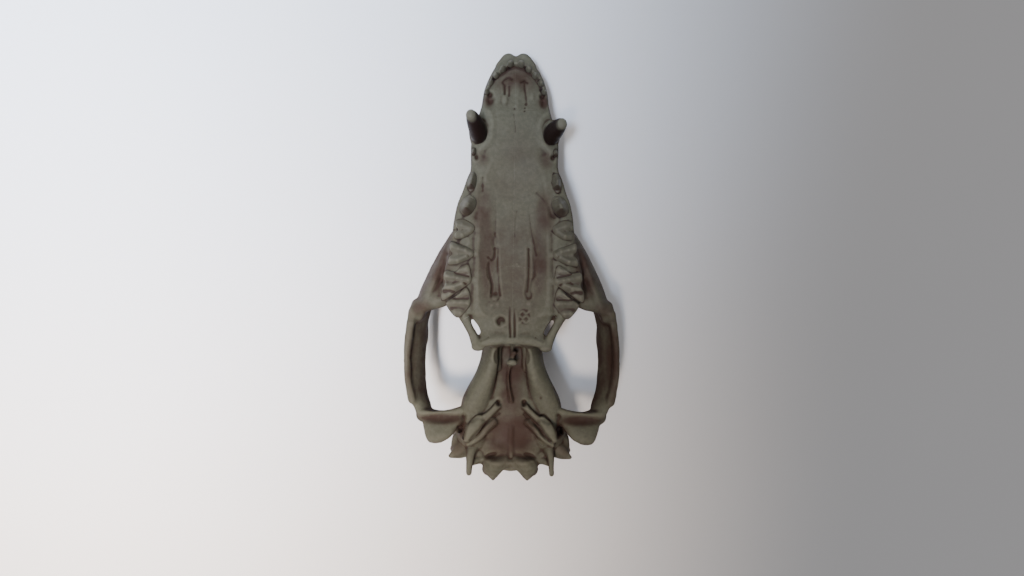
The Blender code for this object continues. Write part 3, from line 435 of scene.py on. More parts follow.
# %% Occiput, crown and snout
def occiput(side):
    """Half of the back of the skull: condyle, nuchal crest and the plate that they stand on."""
    return [
        side_bar(side, ((1.6, -55.6, -7.4), (4.6, -57.4, -7.4), (6.2, -59.0, -9.6), (5.6, -58.6, -13.4)),
                 (1.2, 2.0, 2.1, 1.5), (1.2, 2.2, 2.2, 1.6), up=(1, 0, 0)),
        ball((side * 5.0, -60.0, -8.6), (1.8, 1.7, 2.2)),
        ball((side * 5.0, -61.0, -8.6), (0.9, 1.2, 1.4)),
        ball((side * 5.4, -57.8, -8.0), (2.9, 3.1, 2.1), (0, side * 20, 0)),
        side_bar(side, ((-0.4, -56.4, -7.7), (2.5, -57.4, -7.5), (4.4, -59.2, -7.8)),
                 (1.3, 1.6, 1.7), (1.3, 1.4, 1.5)),
        ball((side * 9.8, -54.6, -9.6), (2.4, 1.6, 1.6)),
        side_bar(side, ((7.5, -56.2, -9.5), (9.5, -56.2, -8.8), (11.2, -56.6, -7.6)),
                 (1.5, 1.2, 1.0), (1.6, 1.2, 1.1)),
        side_bar(side, ((0, -62.4, -27.0), (4.0, -61.4, -26.5), (8.0, -58.4, -24.8), (11.4, -56.2, -21.6),
                        (14.2, -54.8, -17.4), (16.6, -53.8, -12.4)),
                 (1.4, 1.4, 1.5, 1.5, 1.5, 1.4), (1.6, 1.6, 1.5, 1.4, 1.3, 1.3), up=(0, 1, 0)),
        ball((side * 3.2, -56.2, -25.6), (4.8, 6.2, 3.0)),
        ball((side * 5.6, -51.6, -18.0), (8.4, 5.0, 10.6)),
    ]


def crown_ridges(side):
    """Brow, postorbital process, and the line that runs from it back to the sagittal crest."""
    return [
        side_bar(side, ((7.0, -9.0, -23.0), (9.6, -11.4, -25.0), PROCESS_TIP), (2.6, 2.0, 0.8),
                 (2.2, 1.6, 0.7)),
        side_bar(side, ((10.4, -12.8, -25.8), (6.4, -17.0, -26.4), (2.6, -21.6, -27.2), (0.4, -26.0, -28.4)),
                 (1.1, 1.0, 1.0, 1.0), (1.2, 1.2, 1.2, 1.4)),
        side_bar(side, ((8.6, 4.0, -21.2), (9.4, -3.0, -23.2), (10.0, -9.0, -24.8), (10.4, -12.4, -25.8)),
                 (1.8, 1.5, 1.4, 1.2), (1.6, 1.4, 1.3, 1.2)),
    ]


def sagittal_crest():
    """Blade along the crown, highest above the back of the braincase, and the knob behind it."""
    top = ((-20, -27.2), (-27, -29.2), (-34, -31.2), (-40, -32.8), (-44, -33.4), (-50, -33.0), (-55.6, -31.2),
           (-61.4, -28.8))
    stations, foot = (-21, -26, -31, -36, -40, -44, -49, -54.8, -60.6), -24.5
    path = [(0, y, (curve_through(top, y) + foot) / 2) for y in stations]
    tall = [(foot - curve_through(top, y)) / 2 for y in stations]
    return [sweep(path, [1.35, 1.25, 1.15, 1.1, 1.1, 1.1, 1.15, 1.3, 1.4], tall),
            ball((0, -53.4, -26.6), (4.2, 2.4, 3.6))]


def snout_forms(side):
    """Rounded lobe at the front, free tip of the nasal bone, and the swelling over the canine's root."""
    return [
        side_bar(side, ((1.0, 59.4, -2.6), (2.3, 59.5, -2.6), (4.6, 57.4, -2.6)),
                 (1.2, 1.6, 1.2), (1.6, 1.8, 1.6)),
        side_bar(side, ((2.2, 40.0, -12.8), (2.2, 48.0, -11.6), (2.0, 54.4, -11.1)),
                 (2.4, 2.3, 1.3), (1.5, 1.3, 0.9)),
        side_bar(side, ((10.3, 38.8, 0.0), (10.3, 37.0, -4.0), (9.4, 33.0, -9.5)),
                 (2.7, 2.5, 1.8), (3.2, 2.7, 1.8), up=(0, 1, 0)),
    ]


# %% Add the ridges
ridges = sagittal_crest() + both_sides(palatine_strut, throat_ridges, ear_region, occiput, crown_ridges,
                                       snout_forms)
body = boolean(body, ridges, "UNION")
print(len(ridges), "ridges, knobs and spikes added")

# %% [markdown]
# ## Openings
# The palate is vaulted, the nose and throat are open passages, and nerves leave the skull by small holes.
# These are cut as solids too. The windows and holes of the palate differ from left to right, so
# they wait for the sculpting below. Last come the forms that stand inside the throat.

# %% Middle and side openings
def middle_openings():
    """Palate's vault, pit behind the incisors, nose, throat, rear edge of the palate and foramen magnum."""
    return [
        sweep(((0, 33, 2.6), (0, 24, 1.7), (0, 12, 1.6), (0, 0, 1.6), (0, -10, 1.7), (0, -17, 2.6)),
              (7.4, 9.4, 10.2, 10.4, 10.4, 8.8), (2.1, 2.2, 2.4, 2.4, 2.3, 2.0), sides=40),
        sweep(((0, 62, -8.6), (0, 56, -8.0), (0, 49, -7.6), (0, 42, -7.6)),
              (5.2, 4.4, 4.4, 3.0), (3.2, 2.6, 2.9, 2.0)),
        sweep(((0, -38, -5.6), (0, -33, -6.1), (0, -26, -6.6), (0, -18, -7.2), (0, -11, -7.6)),
              (3.6, 4.1, 4.5, 5.0, 3.6), (1.2, 1.7, 2.1, 2.4, 2.1)),
        ball((0, -25.6, -2.4), (5.6, 4.6, 4.6)),
        ball((0, -24.6, 0.4), (9.4, 3.3, 2.8)),
        sweep(((0, -68, -13.2), (0, -57, -13.2), (0, -47, -14.0)), (3.3, 4.0, 3.4), (3.4, 4.0, 3.4)),
    ]


def side_openings(side):
    """Pits, slits and hollows that lie alike on both sides of the midline."""
    return [
        side_bar(side, ((11.3, -15.0, 0), (10.3, -16.7, 0), (9.2, -18.3, 0)), (0.42, 0.66, 0.36), (7, 7, 7)),
        side_bar(side, ((19.6, 17.4, -9.0), (15.6, 12.6, -8.6), (12.6, 8.6, -8.6)),
                 (1.1, 1.1, 0.9), (1.6, 1.6, 1.1)),
        side_bar(side, ((17.4, -46.6, -9.6), (15.2, -47.2, -9.4), (12.6, -47.6, -9.2)),
                 (1.3, 1.3, 1.0), (1.4, 1.4, 1.0)),
        ball((side * 3.4, -48.2, -3.4), (3.0, 2.6, 3.6)),
        ball((side * 3.6, -39.0, -5.8), (0.7, 0.9, 1.6)),
    ]


def throat_blade():
    """Blade of bone along the throat's floor, and the two knobs in which it ends at the front."""
    return [
        sweep(((0.1, -22.8, -9.2), (0.1, -26.8, -8.4), (-0.9, -30.2, -8.2), (-0.8, -33.8, -7.8),
               (0, -38.4, -6.9)),
              (0.5, 0.8, 0.4, 0.4, 0.6), (0.8, 1.2, 0.9, 0.7, 0.6)),
        ball((0.1, -27.3, -6.9), (1.6, 0.95, 1.0)),
        ball((0.7, -24.6, -7.9), (0.9, 0.6, 0.8)),
    ]


def throat_filling(side):
    """Bar that fills the corner between the throat's floor and its side."""
    return [side_bar(side, ((4.2, -20.0, -9.5), (4.4, -29.0, -9.3)), (1.3, 1.3), (1.2, 1.2))]


# %% Carve and blend the bone
BONE_VOXEL, BONE_SOFTENING = 0.26, 10

body = boolean(body, middle_openings() + both_sides(side_openings), "DIFFERENCE")
body = boolean(body, throat_blade() + both_sides(throat_filling), "UNION")
body = blended(body, BONE_VOXEL, BONE_SOFTENING)
print("carved bone has", len(body.data.vertices), "points")

# %% [markdown]
# ## Sculpting the palate and the skull's base
# The marks that make this skull itself, such as a window in the palate, a groove that an artery lay in or
# the ring round a canine, are small and one-sided. Solids would be clumsy for them. Each one is a
# stroke instead: a line or an outline in plan with a width and a depth, which lowers the points under it
# and fades at its edge. A negative depth raises them. Only points that face out of the palate move.

# %% Reading and writing the points of a mesh
def points_of(mesh):
    """Places of a mesh's points as an array."""
    flat = np.empty(len(mesh.vertices) * 3, np.float32)
    mesh.vertices.foreach_get("co", flat)
    return flat.reshape(-1, 3).astype(float)


def normals_of(mesh):
    """Directions that a mesh's points face, as an array."""
    flat = np.empty(len(mesh.vertices) * 3, np.float32)
    mesh.vertex_normals.foreach_get("vector", flat)
    return flat.reshape(-1, 3).astype(float)


def write_points(mesh, points):
    """Moves a mesh's points to the places in an array."""
    mesh.vertices.foreach_set("co", points.astype(np.float32).ravel())
    mesh.update()


# %% Helpers for strokes
def eased(share):
    """Share held between 0 and 1 and eased at both ends."""
    share = np.clip(share, 0, 1)
    return share * share * (3 - 2 * share)


def beside(places, a, b):
    """Distance of each place from the line between two points, and the share of the way along it."""
    run = b - a
    share = np.clip((places - a) @ run / max(run @ run, 1e-9), 0, 1)
    return np.linalg.norm(places - a - share[:, None] * run, axis=1), share


# %% Strokes
FACING_FROM, FACING_SPAN = 0.1, 0.4         # a point turns with its slope from left alone to moved in full


class Relief:
    """Points of a bone that strokes in plan raise and lower along Z."""

    def __init__(self, mesh):
        self.start = points_of(mesh)
        self.points = self.start.copy()
        self.facing = eased((normals_of(mesh)[:, 2] - FACING_FROM) / FACING_SPAN)

    def near(self, outline, margin, level):
        """Indices of the points that face up within margin of an outline, between two levels."""
        flat = np.array([p[:2] for p in outline], float)
        low = (*(flat.min(axis=0) - margin), level[0])
        high = (*(flat.max(axis=0) + margin), level[1])
        return np.nonzero(((self.start > low) & (self.start < high)).all(axis=1) & (self.facing > 0))[0]

    def lower(self, chosen, amount):
        """Lowers the chosen points, less where they face away."""
        self.points[chosen, 2] -= amount * self.facing[chosen]

    def line(self, level, width, depth, path):
        """Groove along a path, or a ridge where depth is below zero. A pair gives the depth at each end."""
        curve = [p for p, _ in spline([(*p, 0) for p in path], 5)]
        chosen = self.near(curve, 3 * width, level)
        at = self.start[chosen, :2]
        best, along = np.full(len(chosen), 1e9), np.zeros(len(chosen))
        for n, (a, b) in enumerate(zip(curve, curve[1:])):
            away, share = beside(at, np.array(a[:2]), np.array(b[:2]))
            closer = away < best
            best[closer], along[closer] = away[closer], ((n + share) / (len(curve) - 1))[closer]
        first, last = depth if isinstance(depth, tuple) else (depth, depth)
        self.lower(chosen, (first + (last - first) * along) * np.exp(-(best / width) ** 2))

    def spot(self, level, radii, depth, centre, turn=0.0, flat=2.0):
        """Round or oval pit, or a bump where depth is negative. A higher flat gives a flatter floor."""
        chosen = self.near([centre], 3 * max(radii), level)
        at = self.start[chosen, :2] - np.array(centre)
        a = math.radians(turn)
        across = (at[:, 0] * math.cos(a) + at[:, 1] * math.sin(a)) / radii[0]
        ahead = (at[:, 1] * math.cos(a) - at[:, 0] * math.sin(a)) / radii[1]
        self.lower(chosen, depth * np.exp(-np.hypot(across, ahead) ** flat))

    def hollow(self, level, edge, depth, outline, fade=None):
        """Sunken area inside a closed outline, with walls as wide as edge.

        fade gives two stations along the skull between which the depth falls to nothing.
        """
        curve = np.array([p[:2] for p, _ in spline([(*p, 0) for p in outline], 4, closed=True)])
        chosen = self.near(curve, edge, level)
        at = self.start[chosen, :2]
        inside, best = np.zeros(len(chosen), bool), np.full(len(chosen), 1e9)
        for a, b in zip(curve, np.roll(curve, -1, axis=0)):
            best = np.minimum(best, beside(at, a, b)[0])
            run = b - a
            spans = (a[1] > at[:, 1]) != (b[1] > at[:, 1])
            crossing = a[0] + run[0] * (at[:, 1] - a[1]) / (run[1] if run[1] else 1e-9)
            inside ^= spans & (at[:, 0] < crossing)
        amount = depth * eased(0.5 + np.where(inside, best, -best) / edge)
        if fade:
            amount = amount * np.clip((at[:, 1] - fade[1]) / (fade[0] - fade[1]), 0, 1)
        self.lower(chosen, amount)


relief = Relief(body.data)
print("relief over", int((relief.facing > 0).sum()), "points that face out of the palate")

# %% [markdown]
# ### Snout
# Behind the incisors the bone drops steeply into a shallow pocket, with the two incisive openings and a
# raised strip between them. Two deep pits lie behind the last incisors. A smooth ring of bone stands
# round each canine.

# %% Snout
PALATE, BASE = (-3.4, 3.0), (-13.0, -1.5)       # levels between which a stroke finds its points
POCKET = ((-8.1, 48.6), (-7.1, 52.2), (-5.3, 54.2), (-3.2, 55.9), (-1.4, 57.0), (0.1, 57.2), (2.2, 56.6),
          (4.7, 55.0), (6.2, 53.0), (8.3, 49.0), (6.6, 43.4), (0.0, 42.0), (-6.6, 43.4))

relief.hollow(PALATE, 1.1, 1.4, POCKET, fade=(54.5, 44.0))
relief.line(PALATE, 1.3, -0.4, ((0.2, 52.6), (0.3, 50.0), (0.3, 45.6)))
relief.line(PALATE, 0.4, 0.5, ((-3.0, 49.0), (-3.1, 51.4), (-3.6, 52.6), (-2.6, 53.7), (-1.8, 53.9),
                               (-1.1, 53.4)))
relief.line(PALATE, 0.4, 0.3, ((-1.8, 51.2), (-1.8, 48.7)))
relief.line(PALATE, 0.4, 0.5, ((1.6, 52.5), (2.5, 53.1), (3.3, 52.4)))
relief.line(PALATE, 0.4, (0.5, 0.15), ((2.5, 52.8), (2.6, 50.6), (2.9, 48.6), (3.1, 46.0)))
relief.spot(PALATE, (0.7, 1.3), -0.45, (-3.1, 47.4), flat=3)
relief.spot(PALATE, (0.9, 1.6), -0.25, (4.6, 48.6))
for x, y in ((3.0, 46.1), (2.7, 44.9), (2.6, 44.0), (-0.2, 44.6)):
    relief.spot(PALATE, (0.32, 0.32), 0.22, (x, y))
for x, y, across, along, depth in ((-7.2, 48.9, 0.7, 0.7, 1.2), (-6.9, 47.0, 1.1, 1.4, 0.7),
                                   (7.5, 48.6, 0.7, 0.7, 1.2), (8.1, 46.4, 1.1, 1.4, 0.7)):
    relief.spot(PALATE, (across, along), depth, (x, y), flat=3)
LEFT_RING = ((9.8, 43.8), (7.9, 42.6), (6.7, 40.0), (7.0, 37.3), (7.9, 34.8), (10.0, 33.0))
RIGHT_RING = ((-9.2, 44.4), (-7.4, 43.6), (-6.4, 41.4), (-6.3, 38.8), (-6.9, 35.7), (-9.6, 33.5))
for ring in (LEFT_RING, RIGHT_RING):
    relief.line(PALATE, 1.3, -0.3, ring)
    relief.line(PALATE, 0.8, 0.16, [(p[0] * 0.86, p[1] + (p[1] - 38.6) * 0.12) for p in ring])
relief.line(PALATE, 0.22, 0.1, ((-0.4, 43.0), (-0.1, 41.2), (0.2, 38.0)))
for x, y in ((-8.7, 31.1), (7.9, 31.8)):
    relief.spot(PALATE, (1.4, 1.7), 0.5, (x, y))
for x, y in ((-10.7, 30.9), (10.7, 31.0)):
    relief.spot(PALATE, (0.6, 0.75), 1.0, (x, y), flat=3)
print("snout sculpted")

# %% [markdown]
# ### Palate
# Blood vessels left faint grooves in the front palate. Behind them lie the opossum's mark, two long windows
# in the bone, here still closed by their dried skin and so sunken rather than open. In the rear
# palate one round hole is open and its partner is covered by a wrinkled skin.

# %% Front palate
for width, depth, path in (
    (0.5, 0.22, ((-8.8, 25.2), (-8.8, 21.6))),
    (1.2, 0.55, ((-8.9, 22.7), (-9.5, 17.6), (-10.6, 14.2))),
    (0.5, (0.1, 0.26), ((-5.2, 19.4), (-5.1, 14.0), (-5.2, 10.0), (-5.6, 7.6), (-5.3, 5.4))),
    (0.4, 0.16, ((-5.2, 9.6), (-4.7, 7.8), (-4.8, 5.6))),
    (0.55, (0.1, 0.4), ((4.1, 17.0), (4.5, 13.7), (5.1, 10.3), (5.8, 6.8), (6.6, 3.8))),
    (0.7, (0.2, 0.45), ((6.4, 21.1), (8.1, 19.5), (9.5, 17.4), (10.4, 14.8))),
    (1.0, 0.6, ((11.0, 17.2), (11.3, 14.4))),
    (0.4, 0.1, ((0.8, 16.0), (0.4, 12.0), (0.4, 9.0))),
    (0.8, 0.12, ((-8.0, 20.1), (-4.5, 20.4), (0.7, 19.8), (4.0, 20.5))),
    (0.9, 0.35, ((-10.6, 11.2), (-11.2, 8.0), (-11.2, 4.8))),
    (0.9, 0.35, ((10.3, 11.4), (10.7, 8.1), (10.7, 4.8))),
    (0.9, 0.35, ((-10.9, 2.6), (-11.3, -3.6), (-11.4, -8.6), (-11.4, -13.0))),
    (0.9, 0.35, ((10.9, 2.6), (11.2, -3.6), (11.4, -8.6), (11.6, -13.2))),
):
    relief.line(PALATE, width, depth, path)
print("front palate sculpted")

# %% Windows of the palate
RIGHT_WINDOW = ((-4.3, 6.2), (-4.2, 2.0), (-4.25, -1.4), (-4.0, -4.6), (-3.5, -7.6), (-4.0, -9.1),
                (-5.4, -9.5), (-6.3, -8.2), (-6.0, -5.6), (-6.3, -3.9), (-7.1, -2.4), (-7.2, 0.6),
                (-6.3, 2.2), (-5.4, 4.0))
LEFT_WINDOW = ((3.9, 8.2), (3.75, 5.0), (3.9, 0.4), (3.8, -4.0), (3.3, -7.0), (4.0, -8.8), (5.4, -8.6),
               (5.6, -7.2), (5.2, -5.6), (5.7, -3.6), (6.5, -2.0), (6.5, 0.6), (6.8, 3.2), (6.1, 5.4),
               (4.9, 6.6))
for window in (RIGHT_WINDOW, LEFT_WINDOW):
    relief.hollow(PALATE, 0.8, 0.4, window, fade=(-1.0, 9.5))
relief.line(PALATE, 1.0, (0.0, 0.45), ((-5.6, 2.2), (-5.6, -2.0), (-5.1, -5.0), (-4.8, -7.0)))
relief.line(PALATE, 0.28, (0.12, 0.35), ((-6.8, 1.7), (-6.6, -0.8), (-5.9, -4.6), (-5.9, -7.0)))
relief.line(PALATE, 0.28, (0.12, 0.35), ((-4.2, 5.5), (-4.3, 1.7), (-4.1, -1.4), (-3.7, -6.1), (-3.4, -7.8)))
relief.line(PALATE, 0.32, (0.3, 0.2), ((4.3, 5.4), (4.4, 1.0), (4.4, -3.0), (4.2, -6.6)))
relief.line(PALATE, 0.35, -0.3, ((5.0, 4.4), (5.2, 1.0), (5.1, -2.4)))
relief.spot(PALATE, (1.0, 0.9), -0.55, (-5.1, -8.7), flat=3)
relief.line(PALATE, 0.3, 0.35, ((-5.2, 5.4), (-5.3, 3.0), (-6.0, 2.2), (-7.0, 2.9)))
for x, y in ((-4.3, -10.2), (-5.8, -10.4), (4.4, -9.9)):
    relief.spot(PALATE, (0.8, 0.7), -0.35, (x, y))
for x, y in ((1.1, 1.2), (1.6, 0.6)):
    relief.spot(PALATE, (0.3, 0.3), -0.16, (x, y))
print("two windows sunk into the palate")

# %% Rear palate
relief.line(PALATE, 0.36, (0.1, 0.6), ((-0.75, -11.0), (-0.7, -15.0), (-0.45, -19.2)))
relief.line(PALATE, 0.36, (0.1, 0.6), ((0.55, -11.6), (0.65, -15.0), (0.7, -19.2)))
relief.spot(PALATE, (1.25, 1.25), 1.3, (-3.25, -15.0), flat=4)
relief.spot(PALATE, (0.75, 0.65), -1.0, (-2.8, -15.7))
relief.spot(PALATE, (1.75, 2.35), 0.36, (3.4, -13.7), flat=6)
for y, bend in ((-12.4, 0.3), (-13.7, -0.3), (-15.0, 0.3)):
    relief.line(PALATE, 0.3, -0.2, ((2.1, y - bend), (2.9, y + bend), (3.9, y - bend), (4.7, y + bend)))
relief.line(PALATE, 0.8, 0.12, ((-7.9, -17.4), (-3.0, -18.5), (0, -18.9), (3.2, -18.4), (7.9, -16.9)))
for side in (1, -1):
    relief.spot(PALATE, (1.3, 1.5), 0.3, (side * 9.2, -16.4))
    relief.spot(PALATE, (1.1, 0.9), -0.2, (side * 6.4, -11.6))
    relief.line(PALATE, 0.4, 0.22, ((side * 6.6, -19.6), (side * 8.6, -20.6)))
print("rear palate sculpted")

# %% [markdown]
# ### Skull base
# Behind the palate the throat's floor is split by a blade of bone. Further back lie the openings for the
# arteries, the ear region with its wings and grooves, and the shallow hollows for the neck's muscles.

# %% Skull base
for width, depth, path in (
    (0.8, (0.2, 0.4), ((5.2, -34.2), (6.6, -36.0), (8.4, -37.4))),
    (0.5, (0.3, 0.1), ((-0.1, -28.2), (-0.1, -33.4))),
    (0.5, 0.4, ((-3.4, -42.3), (-5.4, -43.8), (-7.7, -45.2), (-9.9, -47.4), (-11.8, -49.5))),
    (0.5, 0.4, ((3.9, -42.4), (6.2, -44.7), (8.2, -45.6), (9.8, -47.8), (11.4, -49.6))),
    (0.6, 0.35, ((-11.2, -44.2), (-9.4, -43.4), (-7.7, -43.9))),
    (0.6, 0.35, ((7.6, -44.6), (8.7, -43.6), (10.9, -44.3))),
    (0.8, 0.6, ((-13.6, -43.4), (-13.4, -45.6), (-13.8, -48.8))),
    (0.8, 0.6, ((13.9, -42.9), (13.9, -45.4), (14.1, -48.6))),
    (0.9, -0.45, ((-7.9, -55.5), (-4.3, -56.2), (0.2, -56.2), (4.6, -55.9), (8.0, -55.1))),
    (0.6, -0.4, ((0.1, -46.4), (0.1, -50.0), (0.2, -54.6))),
    (1.0, -0.4, ((24.6, -11.9), (27.2, -12.7), (29.8, -12.7))),
    (1.0, -0.4, ((-24.6, -11.9), (-27.2, -12.9), (-29.8, -12.9))),
    (0.8, 0.3, ((24.8, -14.3), (27.4, -15.1), (29.6, -15.0))),
    (0.8, 0.3, ((-24.8, -14.3), (-27.4, -15.3), (-29.6, -15.2))),
):
    relief.line(BASE, width, depth, path)
for side in (1, -1):
    relief.line(BASE, 1.1, 0.35, flipped(side, ((5.0, -27.4), (5.0, -32.0), (5.2, -37.6))))
    relief.spot(BASE, (0.7, 0.8), 1.0, (side * 3.8, -39.0), flat=3)
    relief.spot(BASE, (1.4, 1.0), -0.5, (side * 2.8, -52.8))
    relief.spot(BASE, (1.5, 0.6), 0.7, (side * 5.6, -54.4), turn=-side * 20, flat=3)
    relief.spot(BASE, (1.3, 1.8), 1.1, (side * 15.2, -47.4))
    relief.spot(BASE, (2.2, 1.4), 0.5, (side * 5.2, -50.2))
    relief.spot(BASE, (5.2, 1.3), 0.75, (side * 20.4, -43.6), flat=3)
relief.spot(BASE, (6.2, 6.4), 1.0, (0, -48.4), flat=2.6)
print("skull base sculpted")

# %% [markdown]
# ### Tooth sockets and cheeks
# Roots push the bone out beside the teeth, and chewing muscles roughened the cheek's edge. The swellings are
# placed by a loop over the molars' outer cusps, which the next step needs for the crowns anyway.

# %% Molars in plan
MOLARS = (      # outline, and lines from cusp to cusp with heights; a line below zero is a fissure
    (((16.1, 13.2), (14.2, 13.6), (12.0, 12.6), (10.8, 11.3), (11.4, 9.7), (13.9, 8.1), (16.2, 7.8),
      (16.4, 9.2), (15.6, 10.4), (16.1, 11.6)),
     (((15.4, 11.9, 1.6), (14.4, 11.7, 1.9), (12.2, 10.9, 1.8)),
      ((15.7, 9.1, 1.6), (14.4, 9.1, 2.0), (12.6, 10.2, 1.8)))),
    (((17.5, 7.2), (15.0, 6.4), (12.3, 5.4), (10.9, 4.2), (11.2, 3.0), (13.2, 1.7), (16.0, 0.7), (18.2, 0.6),
      (18.0, 2.4), (17.1, 3.8), (17.8, 5.2)),
     (((17.0, 5.7, 1.7), (15.4, 5.1, 1.9), (13.4, 4.6, 2.0), (12.2, 3.9, 1.8)),
      ((17.4, 1.9, 1.7), (15.6, 2.0, 2.0), (13.4, 3.1, 1.9)))),
    (((18.9, -1.0), (16.0, -1.2), (14.2, 0.4), (12.5, 0.9), (11.7, -1.6), (11.5, -3.6), (12.4, -4.9),
      (16.0, -7.3), (19.7, -9.6), (20.0, -6.8), (19.0, -4.9), (19.4, -3.0)),
     (((18.7, -2.5, 1.8), (16.6, -2.8, 2.0), (14.2, -3.4, 2.1), (12.6, -3.6, 1.9)),
      ((18.8, -5.6, 1.8), (16.8, -5.6, 2.1), (14.5, -4.6, 2.0)), ((18.9, -8.0, 1.5), (17.6, -7.5, 1.6)),
      ((15.4, -0.9, 1.7), (13.1, -0.5, 1.6)), ((16.3, -1.6, -0.2), (12.4, -2.6, -0.2)))),
    (((18.4, -9.8), (15.4, -7.7), (13.1, -5.4), (11.9, -7.3), (11.7, -10.2), (13.1, -12.4), (14.8, -14.0),
      (16.2, -13.8), (18.2, -11.4)),
     (((17.6, -10.1, 1.6), (16.2, -9.9, 1.9), (14.0, -9.9, 2.0), (12.7, -9.9, 1.8)),
      ((16.0, -12.5, 1.5), (14.7, -12.7, 1.6)), ((15.6, -7.9, 1.7), (13.2, -6.9, 1.6)),
      ((16.4, -8.9, -0.2), (12.6, -8.8, -0.2)))),
)
print(len(MOLARS), "molars drawn with", sum(len(lobes) for _, lobes in MOLARS), "lines of cusps")

# %% Sockets and cheek
SOCKET, CHEEK_EDGE, CHEEK_SIDE = (-9.0, 3.0), (-12, 0), (-14, 0)        # levels again

for side in (1, -1):
    for outline, lobes in MOLARS[:3]:
        (x, front, _), (_, rear, _) = lobes[0][0], lobes[1][0]
        for y in (front, rear):
            relief.spot(SOCKET, (1.0, 1.0), -0.5, (side * (x + 1.4), y))
        relief.spot(SOCKET, (0.7, 0.6), 0.4, (side * (x + 1.3), (front + rear) / 2))
        relief.spot(SOCKET, (0.9, 1.0), -0.3, (side * (lobes[0][-1][0] - 1.6), lobes[0][-1][1]))
    relief.line(SOCKET, 0.9, 0.5, flipped(side, ((18.2, 9.0), (19.7, 4.0), (20.7, -2.0), (21.2, -8.0))))
    relief.line(CHEEK_EDGE, 0.9, -0.5, flipped(side, ((18.8, 9.5), (21.3, 0.1), (23.4, -6.3), (25.5, -10.5))))
    relief.line(CHEEK_SIDE, 0.9, 0.45, flipped(side, ((20.4, 8.6), (23.2, 1.4), (25.6, -5.6))))
    relief.line(CHEEK_SIDE, 1.0, 0.3,
                flipped(side, ((27.3, -16.6), (28.2, -21.0), (28.9, -26.0), (29.1, -31.0))))
write_points(body.data, relief.points)
deepest = float((relief.start - relief.points)[:, 2].max())
print("sockets and cheeks sculpted; deepest stroke", round(deepest, 2), "mm")

# %% [markdown]
# Real bone is never quite smooth or quite symmetrical. Three sizes of noise move the points along their
# normals: a broad one that makes left and right differ, a middle one like a hand-finished surface, and a
# fine grain. Blender's noise has no seed to set, so it gives the same bone in every run.

# %% Grown, not turned
UNEVENNESS = ((0.05, 0.28), (0.22, 0.12), (0.75, 0.05))      # waves a millimetre, and height in millimetres

points, facing = points_of(body.data), normals_of(body.data)
lift = np.array([sum(height * noise.noise(Vector(p) * rate) for rate, height in UNEVENNESS) for p in points])
write_points(body.data, points + facing * lift[:, None])
print("surface moved by up to", round(float(np.abs(lift).max()), 2), "mm")

# %% [markdown]
# ## Cheek teeth
# A crown is a small landscape: a closed outline, cusps, and crests that run between them. Rings of points
# shrink from the outline to the middle, and each point rises to the highest form near it, so the crown
# stays one closed surface with its root hidden in the bone. The opossum's molars are three-sided, with one
# low inner cusp, two tall middle ones, and a row of small ones along the outer shelf.

# %% Crowns
ROOT_RINGS = ((0.62, -2.4), (0.84, -0.6), (0.93, 0.3), (0.985, 0.8))        # share of the outline, and height
CROWN_RINGS = 22
CREST_SHARPNESS = 4.0               # higher lets crests meet in sharper valleys
FISSURE_WIDTH = 0.28
RIM_ROUNDING = 0.35                 # share of its height that a crown loses at its rim


def heights_along(lines, places, width):
    """Height of each line beside each place, and how near the place is to it, from 0 to 1."""
    starts, ends = (np.array([line[k] for line in lines], float).reshape(-1, 3) for k in (0, 1))
    at = np.array([p[:2] for p in places])[:, None]
    run = ends[:, :2] - starts[:, :2]
    t = np.clip(((at - starts[:, :2]) * run).sum(axis=2) / np.maximum((run * run).sum(axis=1), 1e-9), 0, 1)
    away = np.linalg.norm(at - starts[:, :2] - t[..., None] * run, axis=2)
    return starts[:, 2] + (ends[:, 2] - starts[:, 2]) * t, np.exp(-(away / width) ** 2)


def crown(outline, forms, edge_height, breadth, name):
    """Tooth raised along forms, each a line with (across, along, height) ends, above a root in the socket.

    At breadth beside its line a form has sunk to about a third of its height. One below zero cuts a fissure.
    """
    fissures, crests = [f for f in forms if f[0][2] < 0], [f for f in forms if f[0][2] >= 0]
    line = [p for p, _ in spline([(*p, 0) for p in outline], 7, closed=True)]
    middle = sum(line, Vector()) / len(line)

    def heights(places):
        """Smooth highest of all crests at each place, less the fissures."""
        tall, near = heights_along(crests, places, breadth)
        rise = np.exp(CREST_SHARPNESS * (edge_height + (tall - edge_height) * near)).sum(axis=1)
        deep, near = heights_along(fissures, places, FISSURE_WIDTH)
        return np.log(rise) / CREST_SHARPNESS + (deep * near).sum(axis=1)

    points = []
    for share, z in ROOT_RINGS:
        points += [middle + (p - middle) * share + Vector((0, 0, z)) for p in line]
    for r in range(CROWN_RINGS):
        flat = [middle + (p - middle) * (1 - r / CROWN_RINGS) for p in line]
        rounding = 1 - RIM_ROUNDING * math.exp(-r / 1.2)
        points += [p + Vector((0, 0, h * rounding)) for p, h in zip(flat, heights(flat))]
    top = middle + Vector((0, 0, float(heights([middle])[0])))
    count, last = len(line), len(points) - len(line)
    faces = [tuple(range(count)), *skin(len(ROOT_RINGS) + CROWN_RINGS, count)]
    faces += [(last + k, last + (k + 1) % count, len(points)) for k in range(count)]
    return solid(points + [top], faces, name)


def molar(side, number):
    """One upper molar with its shelf, its two tall cusps and its low inner cusp."""
    outline, lobes = MOLARS[number]
    forms = [pair for lobe in lobes for pair in zip(flipped(side, lobe), flipped(side, lobe)[1:])]
    return crown(flipped(side, outline), forms, edge_height=0.5, breadth=1.2, name="molar")


# %% Premolars and the joining of crowns
PREMOLARS = (      # place across and along, length, width, height, and turn in degrees
    (11.5, 32.4, 2.4, 1.5, 1.9, 6), (11.9, 23.8, 5.9, 2.7, 3.4, 8), (12.9, 17.3, 6.2, 4.3, 4.0, 27),
)


